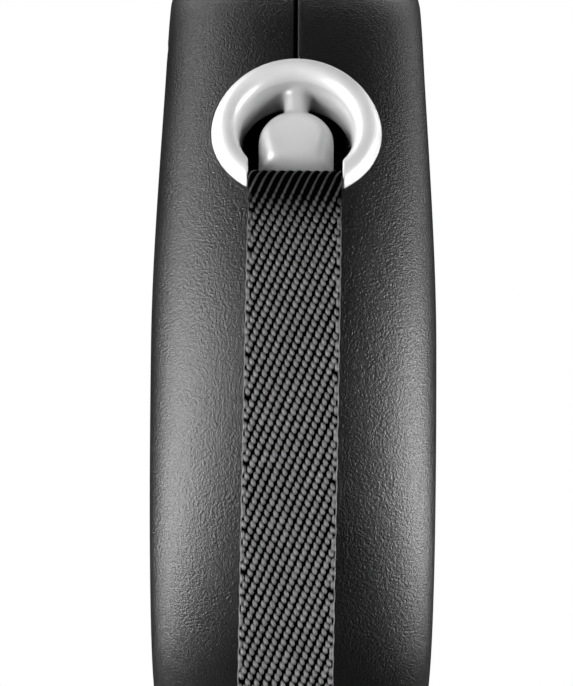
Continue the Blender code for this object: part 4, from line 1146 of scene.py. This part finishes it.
# ---- Stage
FLOOR_Z, FLOOR_SIZE = -0.62, 12.0
m = Mat("floor_look", (0.8, 0.8, 0.8), 0.6)
m.colour(m.noise(3.0, 2.0), (0.78, 0.78, 0.78), (0.82, 0.82, 0.82))
m.out.inputs["Emission Color"].default_value = (1.0, 1.0, 1.0, 1.0)
m.out.inputs["Emission Strength"].default_value = 0.72
bpy.ops.mesh.primitive_plane_add(size=FLOOR_SIZE, location=(0, 0, FLOOR_Z))
floor = bpy.context.object
floor.name = "floor"
floor.data.materials.append(m.mat)
floor.visible_glossy = floor.visible_diffuse = False

scene = bpy.context.scene
scene.view_settings.view_transform = "Standard"
sky = bpy.data.worlds.new("studio")
scene.world = sky
sky.use_nodes = True
tree = sky.node_tree
tree.nodes["Background"].inputs["Strength"].default_value = 0.01     # what lights the object
backdrop = tree.nodes.new("ShaderNodeBackground")                    # what the camera sees behind it
mix = tree.nodes.new("ShaderNodeMixShader")
path_node = tree.nodes.new("ShaderNodeLightPath")
for background in (tree.nodes["Background"], backdrop):
    background.inputs["Color"].default_value = (1, 1, 1, 1)
tree.links.new(path_node.outputs["Is Camera Ray"], mix.inputs["Fac"])
tree.links.new(tree.nodes["Background"].outputs[0], mix.inputs[1])
tree.links.new(backdrop.outputs[0], mix.inputs[2])
tree.links.new(mix.outputs[0], tree.nodes["World Output"].inputs["Surface"])

# Softboxes a metre from the nose and turned to it. Upright banks: degrees to the side (negative is left
# of the camera), then the brightness of each panel by its height in degrees.
AIM = Vector((0.0, -0.135, 0.01))
PANEL, WIDE_PANEL, BACK_PANEL = (0.42, 0.21), (0.42, 0.42), (0.9, 0.5)
BANKS = (
    ("key_rear", -96, {-32: 2.61}),
    ("key", -72, {-32: 0.77, -18: 2.5, -6: 2.85, 18: 1.98}),
    ("key_front", -48, {-32: 0.36, -6: 1.41, 6: 0.86, 18: 2.61}),
    ("side_front", 48, {6: 0.28}),
    ("side", 72, {-18: 0.78, -6: 3.18, 6: 1.83, 18: 1.43}),
    ("side_rear", 96, {-32: 1.12, -18: 2.4, 18: 0.22}),
)


def softbox(name, azimuth, elevation, size, brightness):
    data = bpy.data.lights.new(name, "AREA")
    data.shape, data.size, data.size_y = "RECTANGLE", *size
    data.energy = brightness * math.pi * size[0] * size[1]
    data.spread = math.radians(60.0)
    ob = bpy.data.objects.new(name, data)
    az, el = math.radians(azimuth), math.radians(elevation)
    way = Vector((math.sin(az) * math.cos(el), -math.cos(az) * math.cos(el), math.sin(el)))
    ob.location = AIM + way
    ob.rotation_euler = (-way).to_track_quat("-Z", "Y").to_euler()
    scene.collection.objects.link(ob)


for bank, azimuth, panels in BANKS:
    for elevation, brightness in panels.items():
        softbox("%s_%d" % (bank, elevation), azimuth, elevation, PANEL, brightness)
softbox("key_front_over", -60, 36, WIDE_PANEL, 0.13)
softbox("key_rear_over", -100, 48, WIDE_PANEL, 0.79)
softbox("side_back_over", 120, 30, WIDE_PANEL, 0.32)
softbox("back_fill", 180, 38, BACK_PANEL, 0.5)
